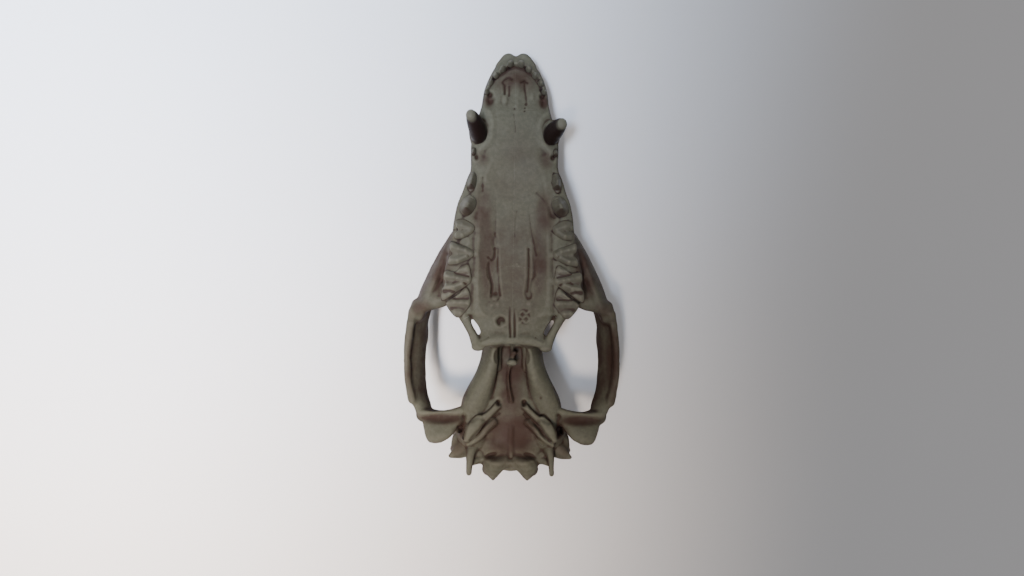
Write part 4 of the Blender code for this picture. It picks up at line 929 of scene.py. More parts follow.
def premolar(side, x, y, length, width, height, turn):
    """Blade-like tooth with one main cusp, a cutting edge along it, and a small heel behind."""
    a = math.radians(turn)

    def place(ahead, out):
        """Place in plan of a point that lies ahead of the tooth's middle and out from it."""
        return (side * (x - math.sin(a) * ahead + math.cos(a) * out),
                y + math.cos(a) * ahead + math.sin(a) * out)

    outline = [place(length / 2 * round_power(math.cos(q), 2.3), width / 2 * round_power(math.sin(q), 2.1))
               for q in (math.pi * k / 6 for k in range(12))]
    ridge = [(*place(length * share, 0), height * high)
             for share, high in ((0.34, 0.5), (0.06, 0.95), (-0.1, 1.0))]
    heel = (*place(-length * 0.4, 0), height * 0.26)
    forms = [*zip(ridge, ridge[1:]), (heel, heel)]
    return crown(outline, forms, edge_height=0.3, breadth=0.36 * width, name="premolar")


def joined(parts, name):
    """One object from several crowns, with their many-sided faces made triangles."""
    bm = bmesh.new()
    for part in parts:
        bm.from_mesh(part.data)
        bpy.data.objects.remove(part)
    bmesh.ops.triangulate(bm, faces=[f for f in bm.faces if len(f.verts) > 4])
    mesh = bpy.data.meshes.new(name)
    bm.to_mesh(mesh)
    bm.free()
    return linked(mesh, name)


SIDES = {"left": 1, "right": -1}
teeth = {}
for word, side in SIDES.items():
    teeth["molars_" + word] = joined([molar(side, n) for n in range(len(MOLARS))], "molars_" + word)
    teeth["premolars_" + word] = joined([premolar(side, *sizes) for sizes in PREMOLARS], "premolars_" + word)
print({name: len(obj.data.polygons) for name, obj in teeth.items()})

# %% [markdown]
# ## Canines
# The canine leans outwards and forwards out of its swollen socket and ends in a worn, blunt tip. It is a
# swept bar with more stations than the CAD's, so that it curves and tapers evenly. The tip's paler
# enamel is a colour that follows a point attribute, the height above the socket, which is stored below.

# %% Canines
CANINE_LINE = ((9.5, 35.8, -6.0), (9.9, 36.9, -2.0), (10.2, 37.8, 1.2), (10.9, 39.2, 4.2), (11.6, 40.4, 6.8),
               (12.0, 40.9, 8.0))
CANINE_WIDE = (1.8, 2.3, 2.4, 2.2, 1.75, 1.35)
CANINE_TALL = (2.4, 2.9, 2.9, 2.6, 2.1, 1.6)
LEFT_CANINE_TURN = (0.7, -2.1)      # how far out and back the left one's tip lies from the right one's

for word, side in SIDES.items():
    out, back = LEFT_CANINE_TURN if word == "left" else (0.0, 0.0)
    line = []
    for x, y, z in CANINE_LINE:
        share = max(z, 0) / CANINE_LINE[-1][2]
        line.append((x + out * share, y + back * share, z))
    teeth["canine_" + word] = sweep(flipped(side, line), CANINE_WIDE, CANINE_TALL, up=(0, 1, 0),
                                    sides=36, steps=10)
print("two canines of", len(teeth["canine_left"].data.polygons), "faces")

# %% [markdown]
# ## Incisors
# Five pegs a side stand in an arc at an even spacing, which is work for Geometry Nodes. The tree takes the
# arc as a curve, spreads a given number of pegs along it, turns each one to the arc and leans it
# inwards. Its sizes are inputs on the tree's interface, so a younger or older row needs no new tree.

# %% Making a node
def add_node(tree, kind, inputs=None, **traits):
    """Outputs of a new node with its settings. Each input is fed by another's output or by a plain value."""
    made = tree.nodes.new(kind)
    for name, value in traits.items():
        setattr(made, name, value)
    for name, value in (inputs or {}).items():
        if isinstance(value, bpy.types.NodeSocket):
            tree.links.new(value, made.inputs[name])
        else:
            made.inputs[name].default_value = value
    return made.outputs


# %% Geometry Nodes tree for a row of pegs
PEG_SIZES = {"Half Width": 0.8, "Half Length": 1.0, "Height": 1.6, "Lean": 0.1, "Shrink": 0.03}


def peg_row_tree():
    """Tree that sets rounded, tapered pegs along a curve."""
    tree = bpy.data.node_groups.new("row_of_pegs", "GeometryNodeTree")
    tree.interface.new_socket("Geometry", in_out="OUTPUT", socket_type="NodeSocketGeometry")
    tree.interface.new_socket("Arc", in_out="INPUT", socket_type="NodeSocketGeometry")
    tree.interface.new_socket("Finish", in_out="INPUT", socket_type="NodeSocketMaterial")
    for name, value in (("Pegs", 5), *PEG_SIZES.items()):
        kind = "NodeSocketInt" if isinstance(value, int) else "NodeSocketFloat"
        tree.interface.new_socket(name, in_out="INPUT", socket_type=kind).default_value = value

    def node(kind, inputs=None, **traits):
        return add_node(tree, kind, inputs, **traits)

    def product(first, second):
        return node("ShaderNodeMath", {0: first, 1: second}, operation="MULTIPLY")[0]

    given = node("NodeGroupInput")
    arc = node("GeometryNodeMeshToCurve", {"Mesh": given["Arc"]})
    spread = node("GeometryNodeCurveToPoints", {"Curve": arc["Curve"], "Count": given["Pegs"]}, mode="COUNT")

    blank = node("GeometryNodeMeshUVSphere", {"Segments": 28, "Rings": 18})
    place = node("ShaderNodeSeparateXYZ", {0: node("GeometryNodeInputPosition")[0]})
    taper = node("ShaderNodeMapRange", {"Value": place["Z"], "From Min": -0.2, "From Max": 1.0,
                                        "To Min": 1.0, "To Max": 0.8})["Result"]
    across = product(place["X"], product(given["Half Width"], taper))
    ahead = product(place["Y"], product(given["Half Length"], taper))
    up = product(place["Z"], given["Height"])
    leaning = node("ShaderNodeMath", {0: up, 1: given["Lean"], 2: across}, operation="MULTIPLY_ADD")[0]
    shape = node("ShaderNodeCombineXYZ", {"X": leaning, "Y": ahead, "Z": up})[0]
    peg = node("GeometryNodeSetPosition", {"Geometry": blank["Mesh"], "Position": shape})["Geometry"]

    along = node("FunctionNodeAlignRotationToVector", {"Vector": spread["Tangent"]}, axis="Y", pivot_axis="Z")
    smaller = product(node("GeometryNodeInputIndex")[0], given["Shrink"])
    size = node("ShaderNodeMath", {0: 1.0, 1: smaller}, operation="SUBTRACT")[0]
    row = node("GeometryNodeInstanceOnPoints", {"Points": spread["Points"], "Instance": peg,
                                                "Rotation": along["Rotation"], "Scale": size})
    real = node("GeometryNodeRealizeInstances", {"Geometry": row["Instances"]})
    smooth = node("GeometryNodeSetShadeSmooth", {"Geometry": real["Geometry"]})
    finish = node("GeometryNodeSetMaterial", {"Geometry": smooth["Geometry"], "Material": given["Finish"]})
    node("NodeGroupOutput", {"Geometry": finish["Geometry"]})
    return tree


pegs = peg_row_tree()
print("tree with", len(pegs.nodes), "nodes and inputs",
      [s.name for s in pegs.interface.items_tree if s.in_out == "INPUT"])

# %% Incisor rows
INCISOR_ARC = ((1.5, 57.5, -0.3), (3.5, 56.2, -0.4), (5.4, 54.4, -0.6), (7.1, 52.2, -0.9), (8.1, 49.9, -1.1))
ENAMEL = bpy.data.materials.new("worn_enamel")


def set_inputs(modifier, values):
    """Sets a Geometry Nodes modifier's inputs by the identifiers of their sockets."""
    for socket in modifier.node_group.interface.items_tree:
        if socket.in_out == "INPUT" and socket.name in values:
            modifier[socket.identifier] = values[socket.name]


for word, side in SIDES.items():
    arc = [p for p, _ in spline(flipped(side, INCISOR_ARC), 4)]
    mesh = bpy.data.meshes.new("incisor_arc")
    mesh.from_pydata(arc, [(k, k + 1) for k in range(len(arc) - 1)], [])
    row = linked(mesh, "incisors_" + word)
    grow = row.modifiers.new("row", "NODES")
    grow.node_group = pegs
    lean = -side * PEG_SIZES["Lean"]
    set_inputs(grow, {**PEG_SIZES, "Pegs": len(INCISOR_ARC), "Lean": lean, "Finish": ENAMEL})
    teeth["incisors_" + word] = evaluated_copy(row, "incisors_" + word)
faces_a_peg = [len(teeth["incisors_" + word].data.polygons) // len(INCISOR_ARC) for word in SIDES]
print("incisors:", faces_a_peg, "faces a peg")

# %% [markdown]
# ## Where painted shade and stains go
# The finish paints shade into hollows, creases and steep flanks, and makes convex edges a little paler. Three
# numbers for each point tell the material where that is. The first sends short rays out of the surface and
# counts how many are caught nearby, which finds holes, slits and the gaps between teeth. The second compares
# the point with its smoothed neighbourhood, which finds small creases and crests. The third is given as broad
# patches in plan, partly painted shade and partly the bone's own stain, and is high on steep flanks. All are
# stored as point attributes, because these survive the turn and can be looked up again after the cutting.

# %% Neighbours and smoothing
def spread_out(mesh, values, rounds):
    """Values at a mesh's points after each has been averaged with its neighbours a number of times."""
    ends = np.empty(len(mesh.edges) * 2, np.int32)
    mesh.edges.foreach_get("vertices", ends)
    first, second = ends[0::2], ends[1::2]
    count = len(values)
    neighbours = np.maximum(np.bincount(ends, minlength=count), 1)
    flat = values.reshape(count, -1).copy()
    for _ in range(rounds):
        sums = [np.bincount(first, column[second], count) + np.bincount(second, column[first], count)
                for column in flat.T]
        flat = 0.5 * flat + 0.5 * np.stack(sums, axis=1) / neighbours[:, None]
    return flat.reshape(values.shape)


RAYS, GOLDEN_TURN = 18, 2.4         # rays from each point, and the turn between one and the next, in radians
RAY_REACH, RAY_START = 9.0, 0.06    # in millimetres; the start clears the surface that the ray leaves


def ray_directions():
    """Directions spread evenly over a half ball round Z."""
    heights = [math.sqrt((n + 0.5) / RAYS) for n in range(RAYS)]
    return [Vector((math.cos(GOLDEN_TURN * k) * math.sqrt(1 - h * h),
                    math.sin(GOLDEN_TURN * k) * math.sqrt(1 - h * h), h)) for k, h in enumerate(heights)]


def shelter(mesh, trees, every):
    """Share of short rays from each point that meet bone or teeth, measured at every n-th point.

    A ray counts for less the further off it is caught. Averaging with the neighbours fills in the rest.
    """
    points, facing, directions = points_of(mesh), normals_of(mesh), ray_directions()
    caught, known = np.zeros(len(points)), np.zeros(len(points))
    for i in range(0, len(points), every):
        normal = Vector(facing[i])
        start = Vector(points[i]) + normal * RAY_START
        turned = normal.to_track_quat("Z", "Y")
        met = 0.0
        for direction in directions:
            ahead = turned @ direction
            gaps = [hit[3] for hit in (tree.ray_cast(start, ahead, RAY_REACH) for tree in trees) if hit[0]]
            if gaps:
                met += 1 - min(gaps) / RAY_REACH
        caught[i], known[i] = met / RAYS, 1.0
    rounds = 3 if every == 1 else 14        # where few points are measured, the gaps between them are wider
    caught, known = spread_out(mesh, np.stack([caught, known], axis=1), rounds).T
    return caught / np.maximum(known, 1e-6)


def store(mesh, name, values):
    """Writes one number for each point as an attribute."""
    mesh.attributes.new(name, "FLOAT", "POINT").data.foreach_set("value", values.astype(np.float32))


def creases(mesh, rounds):
    """Depth below the smoothed surface, in millimetres: above zero in creases, below zero on edges."""
    points = points_of(mesh)
    return ((spread_out(mesh, points, rounds) - points) * normals_of(mesh)).sum(axis=1)


# %% Painted shade and stains
def pair(across, *rest):
    """A patch on each side of the midline."""
    return (-across, *rest), (across, *rest)


# Patches are painted shade in the throat, the snout's pocket, the pits and on cheeks and arches, and the
# bone's own stain on the palate.
SHADE_AND_STAIN_PATCHES = (      # place across and along, reach across and along, and strength: below zero is painted paler, as painted light
    (0, -29, 4.4, 8.0, 0.95), (0, -38, 4.0, 7.0, 0.85), (0, -48, 9.0, 8.0, 1.0), (0, 53.0, 6.4, 4.4, 0.75),
    (-7.6, 47.2, 1.5, 2.3, 1.0), (7.9, 47.0, 1.5, 2.3, 1.0), *pair(9.0, 30.2, 2.4, 2.8, 0.6),
    *pair(8.6, 15, 3.2, 9.0, 0.65), (0, 0, 12, 18, 0.5), (0, 27, 10, 14, 0.35), *pair(7.4, 3, 3.0, 13, 0.75),
    *pair(20.5, -43.9, 7.5, 1.5, 1.0), *pair(14.4, -47, 1.4, 3.2, 0.9),
    (-29.2, -26, 2.4, 17, 0.6), (29.4, -26, 2.4, 17, 0.8), *pair(26, -26, 3, 14, 0.35),
    *pair(9.6, -33, 3.6, 9, -0.6), *pair(21, 2, 4.5, 12, 0.85), *pair(26.5, -11.5, 4, 3, 0.7),
    *pair(15.6, -53, 3, 3, 0.5), (0, -27.2, 2.0, 1.3, -0.9), (0, -20.6, 10, 1.7, -0.5),
    (-3.1, 47.4, 0.9, 1.6, -0.6), (0.2, 48, 1.3, 4, -0.4),
)
UNPATCHED_BELOW = -14               # the crown side, which lies deeper than this, has no patches
STEEP_FROM, STEEP_SPAN = 0.16, 0.64             # slopes over which the painted shade of a flank sets in


def shade_and_stains(mesh):
    """How brown each point is: by the patch it lies in and, as painted shade, by how steep it stands."""
    points, steep = points_of(mesh), 1 - np.abs(normals_of(mesh)[:, 2])
    brown = np.clip((steep - STEEP_FROM) / STEEP_SPAN, 0, 1)
    for x, y, across, along, strength in SHADE_AND_STAIN_PATCHES:
        away = np.hypot((points[:, 0] - x) / across, (points[:, 1] - y) / along)
        patch = strength * np.exp(-away ** 3) * (points[:, 2] > UNPATCHED_BELOW)
        brown = np.maximum(brown, patch) if strength > 0 else np.maximum(brown + patch, 0)
    return spread_out(mesh, brown, 6)


# %% Measure bone and teeth
INCISOR_SHELTER, INCISOR_RISE = 0.45, 2.0       # the pegs stand close and low, so both numbers are eased

bpy.context.view_layer.update()
graph = bpy.context.evaluated_depsgraph_get()
trees = [BVHTree.FromObject(piece, graph) for piece in (body, *teeth.values())]
# The three measures below drive painted shade in the finishes: in sheltered hollows, in creases, on steep
# flanks and in patches, which are partly the bone's own stain.
store(body.data, "shelter", shelter(body.data, trees, 14))
store(body.data, "crease", creases(body.data, 12))
store(body.data, "stain", shade_and_stains(body.data))
for name, tooth in teeth.items():
    mesh, kind = tooth.data, name.split("_")[0]
    every, share, rise = (1, INCISOR_SHELTER, INCISOR_RISE) if kind == "incisors" else (2, 1.0, 0.0)
    store(mesh, "shelter", shelter(mesh, trees, every) * share)
    store(mesh, "crease", creases(mesh, 4))
    store(mesh, "above_socket", points_of(mesh)[:, 2] + rise)
    # the premolars' rear flanks, which face away from the light, get painted shade
    behind = np.clip(-normals_of(mesh)[:, 1] * 1.6 - 0.3, 0, 1)
    store(mesh, "stain", spread_out(mesh, behind, 2) if kind == "premolars" else 0 * behind)
print("shelter and creases measured on", len(trees), "meshes")

# %% [markdown]
# ## Parting the bone along its sutures
# The bones of a skull meet in sutures, hairlines that wander. Each is cut with a sheet less than two
# hundredths of a millimetre thick: a path with a little waviness, pulled through the bone. What the cuts
# leave is sorted into bones by the place that each one's middle is nearest to.

# %% Suture sheets
SUTURE_GAP, SUTURE_WANDER, SUTURE_STEP = 0.016, 0.16, 0.7
LONG_STRETCH = 30                   # a stretch of this length or more stays straight


def wandering(path):
    """The path with points every SUTURE_STEP, which stray from it a little except at its corners."""
    line = [Vector(p) for p in path]
    found = [line[0]]
    for a, b in zip(line, line[1:]):
        parts = max(1, round((b - a).length / SUTURE_STEP)) if (b - a).length < LONG_STRETCH else 1
        across = Vector((-(b - a).y, (b - a).x)).normalized()
        for k in range(1, parts + 1):
            place = a.lerp(b, k / parts)
            stray = SUTURE_WANDER * noise.noise(Vector((*(place * 1.3), 0.0))) if k < parts else 0.0
            found.append(place + across * stray)
    return found


def wall(path, plane, low, high, lean=0.0):
    """Thin sheet: a bent line in plane XY or YZ, pulled across that plane from low to high.

    Each millimetre of the pull moves a line in plane XY sideways by lean.
    """
    line = wandering(path)
    left, right = [], []
    for n, point in enumerate(line):
        before = (point - line[n - 1]).normalized() if n else (line[1] - point).normalized()
        after = (line[n + 1] - point).normalized() if n < len(line) - 1 else before
        mitre = Vector((-(before + after).y, (before + after).x)).normalized()
        reach = SUTURE_GAP / 2 / max(mitre.dot(Vector((-before.y, before.x))), 0.4)
        left.append(point + mitre * reach)
        right.append(point - mitre * reach)
    ring = left + right[::-1]
    count = len(ring)
    points = [(p.x + lean * d, p.y, d) if plane == "XY" else (d, p.x, p.y) for d in (low, high) for p in ring]
    faces = skin(2, count)
    for base in (0, count):
        for k in range(len(line) - 1):
            faces.append(tuple(base + i for i in (k, k + 1, count - 2 - k, count - 1 - k)))
    return solid(points, faces)


# %% Where the sutures run
NASAL_EDGE = ((64.0, 3.4), (50.0, 3.5), (43.0, 3.6), (37.0, 3.9), (32.0, 4.1), (26.0, 4.4), (20.0, 4.6),
              (15.8, 5.6), (11.0, 7.1), (5.0, 7.1), (1.0, 7.0))
NASAL_DEPTH = ((64.0, -8.8), (50.0, -9.4), (44.0, -10.6), (20.0, -16.0), (8.0, -18.8), (0.0, -20.6))


DEEP, HIGH, OUT = -45.0, 9.0, 36.0      # past the bone towards the crown, towards the palate and outwards
SNOUT_JOINT = ((44.2, HIGH), (44.6, -2.0), (38.0, -12.5), (34.0, DEEP))
MIDLINE_LEAN = 0.014                    # so that no light from the floor shines through


def middle_sutures():
    """Sheets along the midline and across it."""
    return [
        wall(((0.0, -19.0), (0.0, 66.0)), "XY", DEEP, -13.8, MIDLINE_LEAN),
        wall(((0.0, -23.2), (0.0, 66.0)), "XY", -13.9, HIGH, MIDLINE_LEAN),
        wall(((-19.0, DEEP), (-19.0, -14.0), (-23.2, -14.0), (-23.2, HIGH)), "YZ", -13.0, 13.0),
        wall(((-19.2, -14.4), (1.0, -14.4), (5.5, DEEP)), "YZ", -12.2, 12.2),
        wall(((-18.8, -14.0), (-30.0, -16.0), (-51.0, -16.0)), "YZ", -13.7, 13.7),
        wall(((-54.2, DEEP), (-52.8, -31.0), (-51.0, -22.0), (-51.0, -15.8)), "YZ", -20.0, 20.0),
        wall(SNOUT_JOINT[:3], "YZ", -3.7, 3.7),
    ]


def side_sutures(side):
    """Sheets on one side of the midline. The last ones are steps that follow the nasal bone's outer edge."""
    def across(path, near, far):
        return wall(path, "YZ", *sorted((side * near, side * far)))

    def plan(path, low, top):
        return wall(flipped(side, path), "XY", low, top)

    sheets = [
        across(SNOUT_JOINT, 3.5, 20.0),
        plan(((10.2, 9.0), (10.3, 2.0), (11.8, -3.4)), DEEP, -14.2),
        plan(((-0.2, 0.6), (4.6, 0.2), (7.0, -4.0), (9.2, -9.4), (11.2, -12.8), (14.6, -15.4), (22.0, -16.6)),
             -14.8, HIGH),
        across(((-15.8, HIGH), (-15.2, -6.0), (-9.0, -12.0), (-5.0, -24.0)), 17.0, OUT),
        across(((-23.5, -26.0), (-24.6, -15.6), (-29.0, -11.6), (-38.4, -6.8), (-40.0, 2.0)), 21.0, OUT),
        plan(((12.9, -34.0), (13.4, -40.6), (13.6, -49.4), (18.9, -50.9), (30.0, -52.8)), DEEP, HIGH),
        plan(((-0.2, -43.4), (3.6, -42.2), (12.2, -49.9), (14.4, -49.7)), -16.1, HIGH),
        plan(((3.9, -42.2), (5.6, -46.0), (8.4, -51.2), (12.8, -52.8), (14.0, -54.4), (14.6, -62.0)),
             -16.1, HIGH),
        across(((-49.2, -16.0), (-60.0, -16.0)), 8.0, 21.0),
    ]
    for (front, near), (back, far) in zip(NASAL_EDGE, NASAL_EDGE[1:]):
        front, back = front + 0.1, back - 0.1
        front_depth, back_depth = curve_through(NASAL_DEPTH, front), curve_through(NASAL_DEPTH, back)
        sheets += [
            plan(((near, front), (far, back)), DEEP, front_depth + 0.4),
            across(((front, front_depth), (back, back_depth)), -0.05, max(near, far) + 0.25),
        ]
    return sheets


# %% Cut and name the bones
BONES = {       # a place near the middle of each; one off the midline stands for a pair
    "parietal": (0, -36, -24), "sphenoid": (0, -33, -11), "occipital": (0, -54, -20),
    "premaxilla": (5, 52, -5), "nasal": (3, 25, -17), "maxilla": (12, 14, -7), "palatine": (6, -13, -8),
    "frontal": (6, -8, -20), "jugal": (28, -22, -9), "squamosal": (22, -42, -10), "petrosal": (12, -50, -11),
}


def named_places():
    """Middle of each bone, with the paired ones on both sides."""
    places = {name: Vector(p) for name, p in BONES.items() if p[0] == 0}
    for name, (x, y, z) in BONES.items():
        if x:
            places[name + "_left"], places[name + "_right"] = Vector((x, y, z)), Vector((-x, y, z))
    return places


def parted(skull):
    """The bones as objects under the names of the CAD nodes they stand for."""
    for obj in bpy.context.selected_objects:
        obj.select_set(False)
    skull.select_set(True)
    bpy.context.view_layer.objects.active = skull
    bpy.ops.mesh.separate(type="LOOSE")
    parts = sorted(bpy.context.selected_objects, key=lambda o: -len(o.data.polygons))
    places, bones = named_places(), {}
    for part in parts[:len(places)]:
        middle = Vector(points_of(part.data).mean(axis=0))
        name = min(places, key=lambda n: (places[n] - middle).length)
        del places[name]
        bones[name] = part
    for crumb in parts[len(bones):]:
        bpy.data.objects.remove(crumb)
    return bones


def values_of(mesh, name):
    """One number for each point from an attribute."""
    found = np.empty(len(mesh.vertices), np.float32)
    mesh.attributes[name].data.foreach_get("value", found)
    return found


MEASURES = ("shelter", "crease", "stain")
uncut = KDTree(len(body.data.vertices))
for i, vertex in enumerate(body.data.vertices):
    uncut.insert(vertex.co, i)
uncut.balance()
known = {name: values_of(body.data, name) for name in MEASURES}
bones = parted(boolean(body, middle_sutures() + both_sides(side_sutures), "DIFFERENCE"))
for bone in bones.values():         # points that a cut has made take the numbers of the nearest uncut point
    made = np.nonzero(values_of(bone.data, "stain") == 0)[0]
    nearest = [uncut.find(bone.data.vertices[i].co)[1] for i in made]
    for name in MEASURES:
        values = values_of(bone.data, name)
        values[made] = known[name][nearest]
        bone.data.attributes[name].data.foreach_set("value", values)
print(len(bones), "bones; the largest has", max(len(b.data.polygons) for b in bones.values()), "triangles")

# %% [markdown]
# ## Finishes
# Every finish is made of nodes on Object coordinates, so it fits each bone without a seam, and reads the
# stored attributes. The skull is an old, unbleached one: olive grey on smooth open bone, redder brown as
# stain in the palate and as painted shade on steep flanks and in every hollow, almost black deep down as
# painted shade, and a little paler on convex edges.

# %% Node helpers
def shaded(material, colour, roughness, specular, bumps):
    """Links a colour, a roughness and stacked bumps to a material's Principled shader.

    Each bump is a height, its strength, and its depth in metres.
    """
    tree, normal = material.node_tree, {}
    for height, strength, depth in bumps:
        bump = {"Strength": strength, "Distance": depth, "Height": height, **normal}
        normal = {"Normal": add_node(tree, "ShaderNodeBump", bump)["Normal"]}
    finish = {"Base Color": colour, "Roughness": roughness, "Specular IOR Level": specular, **normal}
    shader = add_node(tree, "ShaderNodeBsdfPrincipled", finish)["BSDF"]
    add_node(tree, "ShaderNodeOutputMaterial", {"Surface": shader})
    return material


def cleared(material):
    """Node tree of a material, with nothing in it."""
    material.use_nodes = True
    material.node_tree.nodes.clear()
    return material.node_tree


def speckle(tree, scale, detail=4.0, rough=0.6, distortion=0.0):
    """Noise value on the object's own coordinates, with scale in waves a metre."""
    values = {"Vector": add_node(tree, "ShaderNodeTexCoord")["Object"],
              "Scale": scale, "Detail": detail, "Roughness": rough, "Distortion": distortion}
    return add_node(tree, "ShaderNodeTexNoise", values, noise_dimensions="3D")["Fac"]


def measured(tree, name):
    """Value of a point attribute."""
    return add_node(tree, "ShaderNodeAttribute", attribute_type="GEOMETRY", attribute_name=name)["Fac"]


def ranged(tree, value, low, high, to_low=0.0, to_high=1.0):
    """Value brought smoothly from one range to another and held inside it."""
    levels = {"Value": value, "From Min": low, "From Max": high, "To Min": to_low, "To Max": to_high}
    return add_node(tree, "ShaderNodeMapRange", levels, interpolation_type="SMOOTHSTEP")["Result"]


def colours(tree, share, first, second, blend_type="MIX"):
    """Colour between two, each a socket or a plain colour, by a socket or a number."""
    first, second = (c if isinstance(c, bpy.types.NodeSocket) else (*c, 1.0) for c in (first, second))
    mixed = {0: share, 6: first, 7: second}         # the Mix node gives all its kinds of input one name
    return add_node(tree, "ShaderNodeMix", mixed, data_type="RGBA", blend_type=blend_type)[2]


def layered(tree, colour, layers):
    """Colour under several others. Each layer is a value, the levels it is brought to, and its colour."""
    for value, levels, over in layers:
        colour = colours(tree, ranged(tree, value, *levels), colour, over)
    return colour


# %% Old bone
OLIVE_BONE, PALE_BONE, EDGE_PALE_BONE = (0.077, 0.074, 0.053), (0.087, 0.084, 0.060), (0.120, 0.115, 0.084)
# painted shade: red brown on steep flanks and in patches, partly the bone's own stain; brown in creases and
# hollows; almost black deep down
RED_STAIN_AND_SHADE, HOLLOW_SHADE, DEEP_SHADE = (0.039, 0.022, 0.016), (0.028, 0.014, 0.010), (0.012, 0.006, 0.005)
TINTS = {"jugal": 1.0, "occipital": 0.94, "premaxilla": 1.02, "squamosal": 1.06, "nasal": 0.97,
         "petrosal": 0.98, "palatine": 1.0, "sphenoid": 0.96, "parietal": 0.95, "frontal": 0.98,
         "maxilla": 1.0}


def old_bone(name, tint):
    """Dry, unbleached bone with painted shade in hollows, creases and on steep flanks, and paler convex
    edges.
    """
    material = bpy.data.materials.new("old_bone_" + name)
    tree = cleared(material)
    olive, pale = ([tint * c for c in shade] for shade in (OLIVE_BONE, PALE_BONE))
    colour = colours(tree, ranged(tree, speckle(tree, 55, 5, 0.62, 0.4), 0.38, 0.66), olive, pale)
    fleck = ranged(tree, speckle(tree, 900, 3, 0.7), 0.35, 0.75, 0.88, 1.1)
    colour = colours(tree, 1.0, colour, fleck, "MULTIPLY")
    sheltered, creased = measured(tree, "shelter"), measured(tree, "crease")
    parts = {0: measured(tree, "stain"), 1: ranged(tree, speckle(tree, 120, 5, 0.6), 0.3, 0.7, 0.7, 1.15)}
    stain_and_shade_share = add_node(tree, "ShaderNodeMath", parts, operation="MULTIPLY")[0]
    # painted shade from steepness, patches, creases and shelter, over a little paler colour on convex edges
    colour = layered(tree, colour, (
        (creased, (-0.003, -0.08, 0.0, 0.55), EDGE_PALE_BONE),
        (stain_and_shade_share, (0.0, 1.0), RED_STAIN_AND_SHADE),
        (creased, (0.008, 0.10, 0.0, 0.85), HOLLOW_SHADE),
        (sheltered, (0.30, 0.75, 0.0, 0.85), HOLLOW_SHADE),
        (sheltered, (0.50, 0.85), DEEP_SHADE),
    ))
    bumps = ((speckle(tree, 420, 5, 0.6), 0.35, 0.00025), (speckle(tree, 1900, 3, 0.6), 0.3, 0.00008))
    roughness = ranged(tree, speckle(tree, 240, 4), 0.3, 0.7, 0.58, 0.76)
    return shaded(material, colour, roughness, specular=0.16, bumps=bumps)


finishes = {name: old_bone(name, tint) for name, tint in TINTS.items()}
print(len(finishes), "bone finishes")

# %% [markdown]
# Enamel is harder and smoother than bone, so it is glossier and its grain is finer. Painted shade darkens it
# near the socket, where the crowns meet, and in the fissures. The canines' shafts are stained dark brown
# almost to the tip.

# %% Enamel and the stained canine
# TOOTH_SHADE is painted shade on the teeth: in creases, fissures and sheltered gaps, on the premolars' rear
# flanks and near the socket.
ENAMEL_GREY, TOOTH_SHADE, CANINE_BROWN = (0.089, 0.083, 0.061), (0.030, 0.016, 0.012), (0.011, 0.005, 0.004)


def enamel(material, socket_from, socket_to, near_socket):
    """Enamel that turns to near_socket's colour between two heights towards the socket, with painted shade in
    creases.
    """
    tree = cleared(material)
    dull, edge_pale_enamel = ([share * c for c in ENAMEL_GREY] for share in (0.78, 1.3))
    colour = colours(tree, ranged(tree, speckle(tree, 300, 4), 0.35, 0.7), ENAMEL_GREY, dull)
    sheltered, creased = measured(tree, "shelter"), measured(tree, "crease")
    # painted shade in creases, on the premolars' rear flanks and in sheltered gaps; near the socket,
    # near_socket's colour
    colour = layered(tree, colour, (
        (creased, (-0.004, -0.05, 0.0, 0.8), edge_pale_enamel),
        (creased, (0.003, 0.035, 0.0, 0.9), TOOTH_SHADE),
        (measured(tree, "stain"), (0.1, 0.9, 0.0, 0.7), TOOTH_SHADE),
        (measured(tree, "above_socket"), (socket_from, socket_to, 1.0, 0.0), near_socket),
        (sheltered, (0.2, 0.6, 0.0, 0.8), TOOTH_SHADE),
        (sheltered, (0.5, 0.9), DEEP_SHADE),
    ))
    bumps = ((speckle(tree, 1200, 4), 0.25, 0.0001),)
    roughness = ranged(tree, speckle(tree, 500, 3), 0.3, 0.7, 0.5, 0.65)
    return shaded(material, colour, roughness, specular=0.18, bumps=bumps)


# on the cheek teeth and incisors, the band near the socket is painted shade where the crowns meet the bone
enamel(ENAMEL, 0.5, 1.15, TOOTH_SHADE)
STAINED = enamel(bpy.data.materials.new("stained_canine"), 7.7, 8.9, CANINE_BROWN)
print("two finishes for teeth")

# %% Dress bones and teeth
TABLE_GAP = 0.00002                 # nothing dips below this height on the table, in metres


def finished(obj, name, material):
    """Turns a piece onto the table, gives it its finish, smooths its shading and sets it riding."""
    obj.name = name
    obj.data.transform(SKULL_TO_TABLE)
    resting = points_of(obj.data)
    resting[:, 2] = np.maximum(resting[:, 2], TABLE_GAP)
    write_points(obj.data, resting)
    obj.data.materials.clear()
    obj.data.materials.append(material)
    obj.data.polygons.foreach_set("use_smooth", [True] * len(obj.data.polygons))
    obj.data.set_sharp_from_angle(angle=math.radians(60))
    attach(obj, "root")
    return obj


for name, bone in bones.items():
    kind = name.removesuffix("_left").removesuffix("_right")
    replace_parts(finished(bone, "bone_" + name, finishes[kind]), name)
for name, tooth in teeth.items():
    finished(tooth, name, STAINED if name.startswith("canine") else ENAMEL)
total = sum(len(o.data.polygons) for o in [*bones.values(), *teeth.values()])
print(len(bones), "bones and", len(teeth), "sets of teeth dressed;", total, "faces in all")

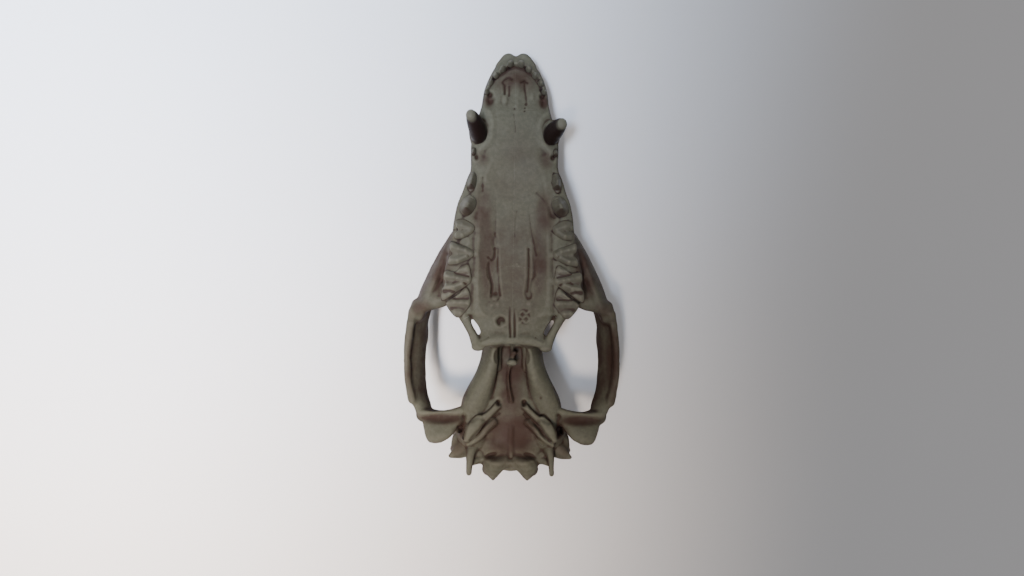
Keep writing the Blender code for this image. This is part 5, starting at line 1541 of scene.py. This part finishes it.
# %% [markdown]
# ## Floor and light
# A plain pale floor under an even surrounding, and a very wide sun from beyond the snout, which gives the
# bone its form. Two pools of light from straight above lie left of the skull, a cool one and a warm one,
# so that the floor fades towards the right and warms towards the viewer.

# %% Floor
FLOOR_SIZE = 12.0

floor_mesh = bpy.data.meshes.new("floor")
half = FLOOR_SIZE / 2
corners = [(-half, -half, 0), (half, -half, 0), (half, half, 0), (-half, half, 0)]
floor_mesh.from_pydata(corners, [], [(0, 1, 2, 3)])
floor = linked(floor_mesh, "floor")
matte = bpy.data.materials.new("pale_floor")
tree = cleared(matte)
paleness = colours(tree, ranged(tree, speckle(tree, 6, 2), 0.3, 0.7), (0.80, 0.80, 0.82), (0.78, 0.78, 0.80))
floor_mesh.materials.append(shaded(matte, paleness, roughness=0.9, specular=0.15, bumps=()))
print("floor laid")

# %% Lights
SUN_POWER, SUN_WIDTH, SUN_WAY = 0.75, math.radians(40), (0.0, -0.75, -0.85)
POOL_X, POOL_Y, LAMP_HEIGHT = -0.16, 0.10, 0.70         # in metres
LAMP_SIZE, LAMP_SPREAD = 0.12, math.radians(36)

sunlight = bpy.data.lights.new("wide_sun", "SUN")
sunlight.energy, sunlight.angle = SUN_POWER, SUN_WIDTH
sun = linked(sunlight, "wide_sun")
sun.rotation_euler = Vector(SUN_WAY).to_track_quat("-Z", "Y").to_euler()
for name, y, power, tint in (("cool_pool", POOL_Y, 0.92, (0.70, 0.81, 1.0)),
                             ("warm_pool", -POOL_Y, 0.78, (1.0, 0.85, 0.73))):
    light = bpy.data.lights.new(name, "AREA")
    light.shape, light.size, light.energy, light.color = "SQUARE", LAMP_SIZE, power, tint
    light.spread = LAMP_SPREAD
    lamp = linked(light, name)
    lamp.location = (POOL_X, y, LAMP_HEIGHT)
world = bpy.data.worlds.new("studio")
world.use_nodes = True
background = world.node_tree.nodes["Background"].inputs
background["Color"].default_value, background["Strength"].default_value = (0.92, 0.89, 0.88, 1.0), 0.22
bpy.context.scene.world = world
print("a wide sun, two pools of light and a faint surrounding")
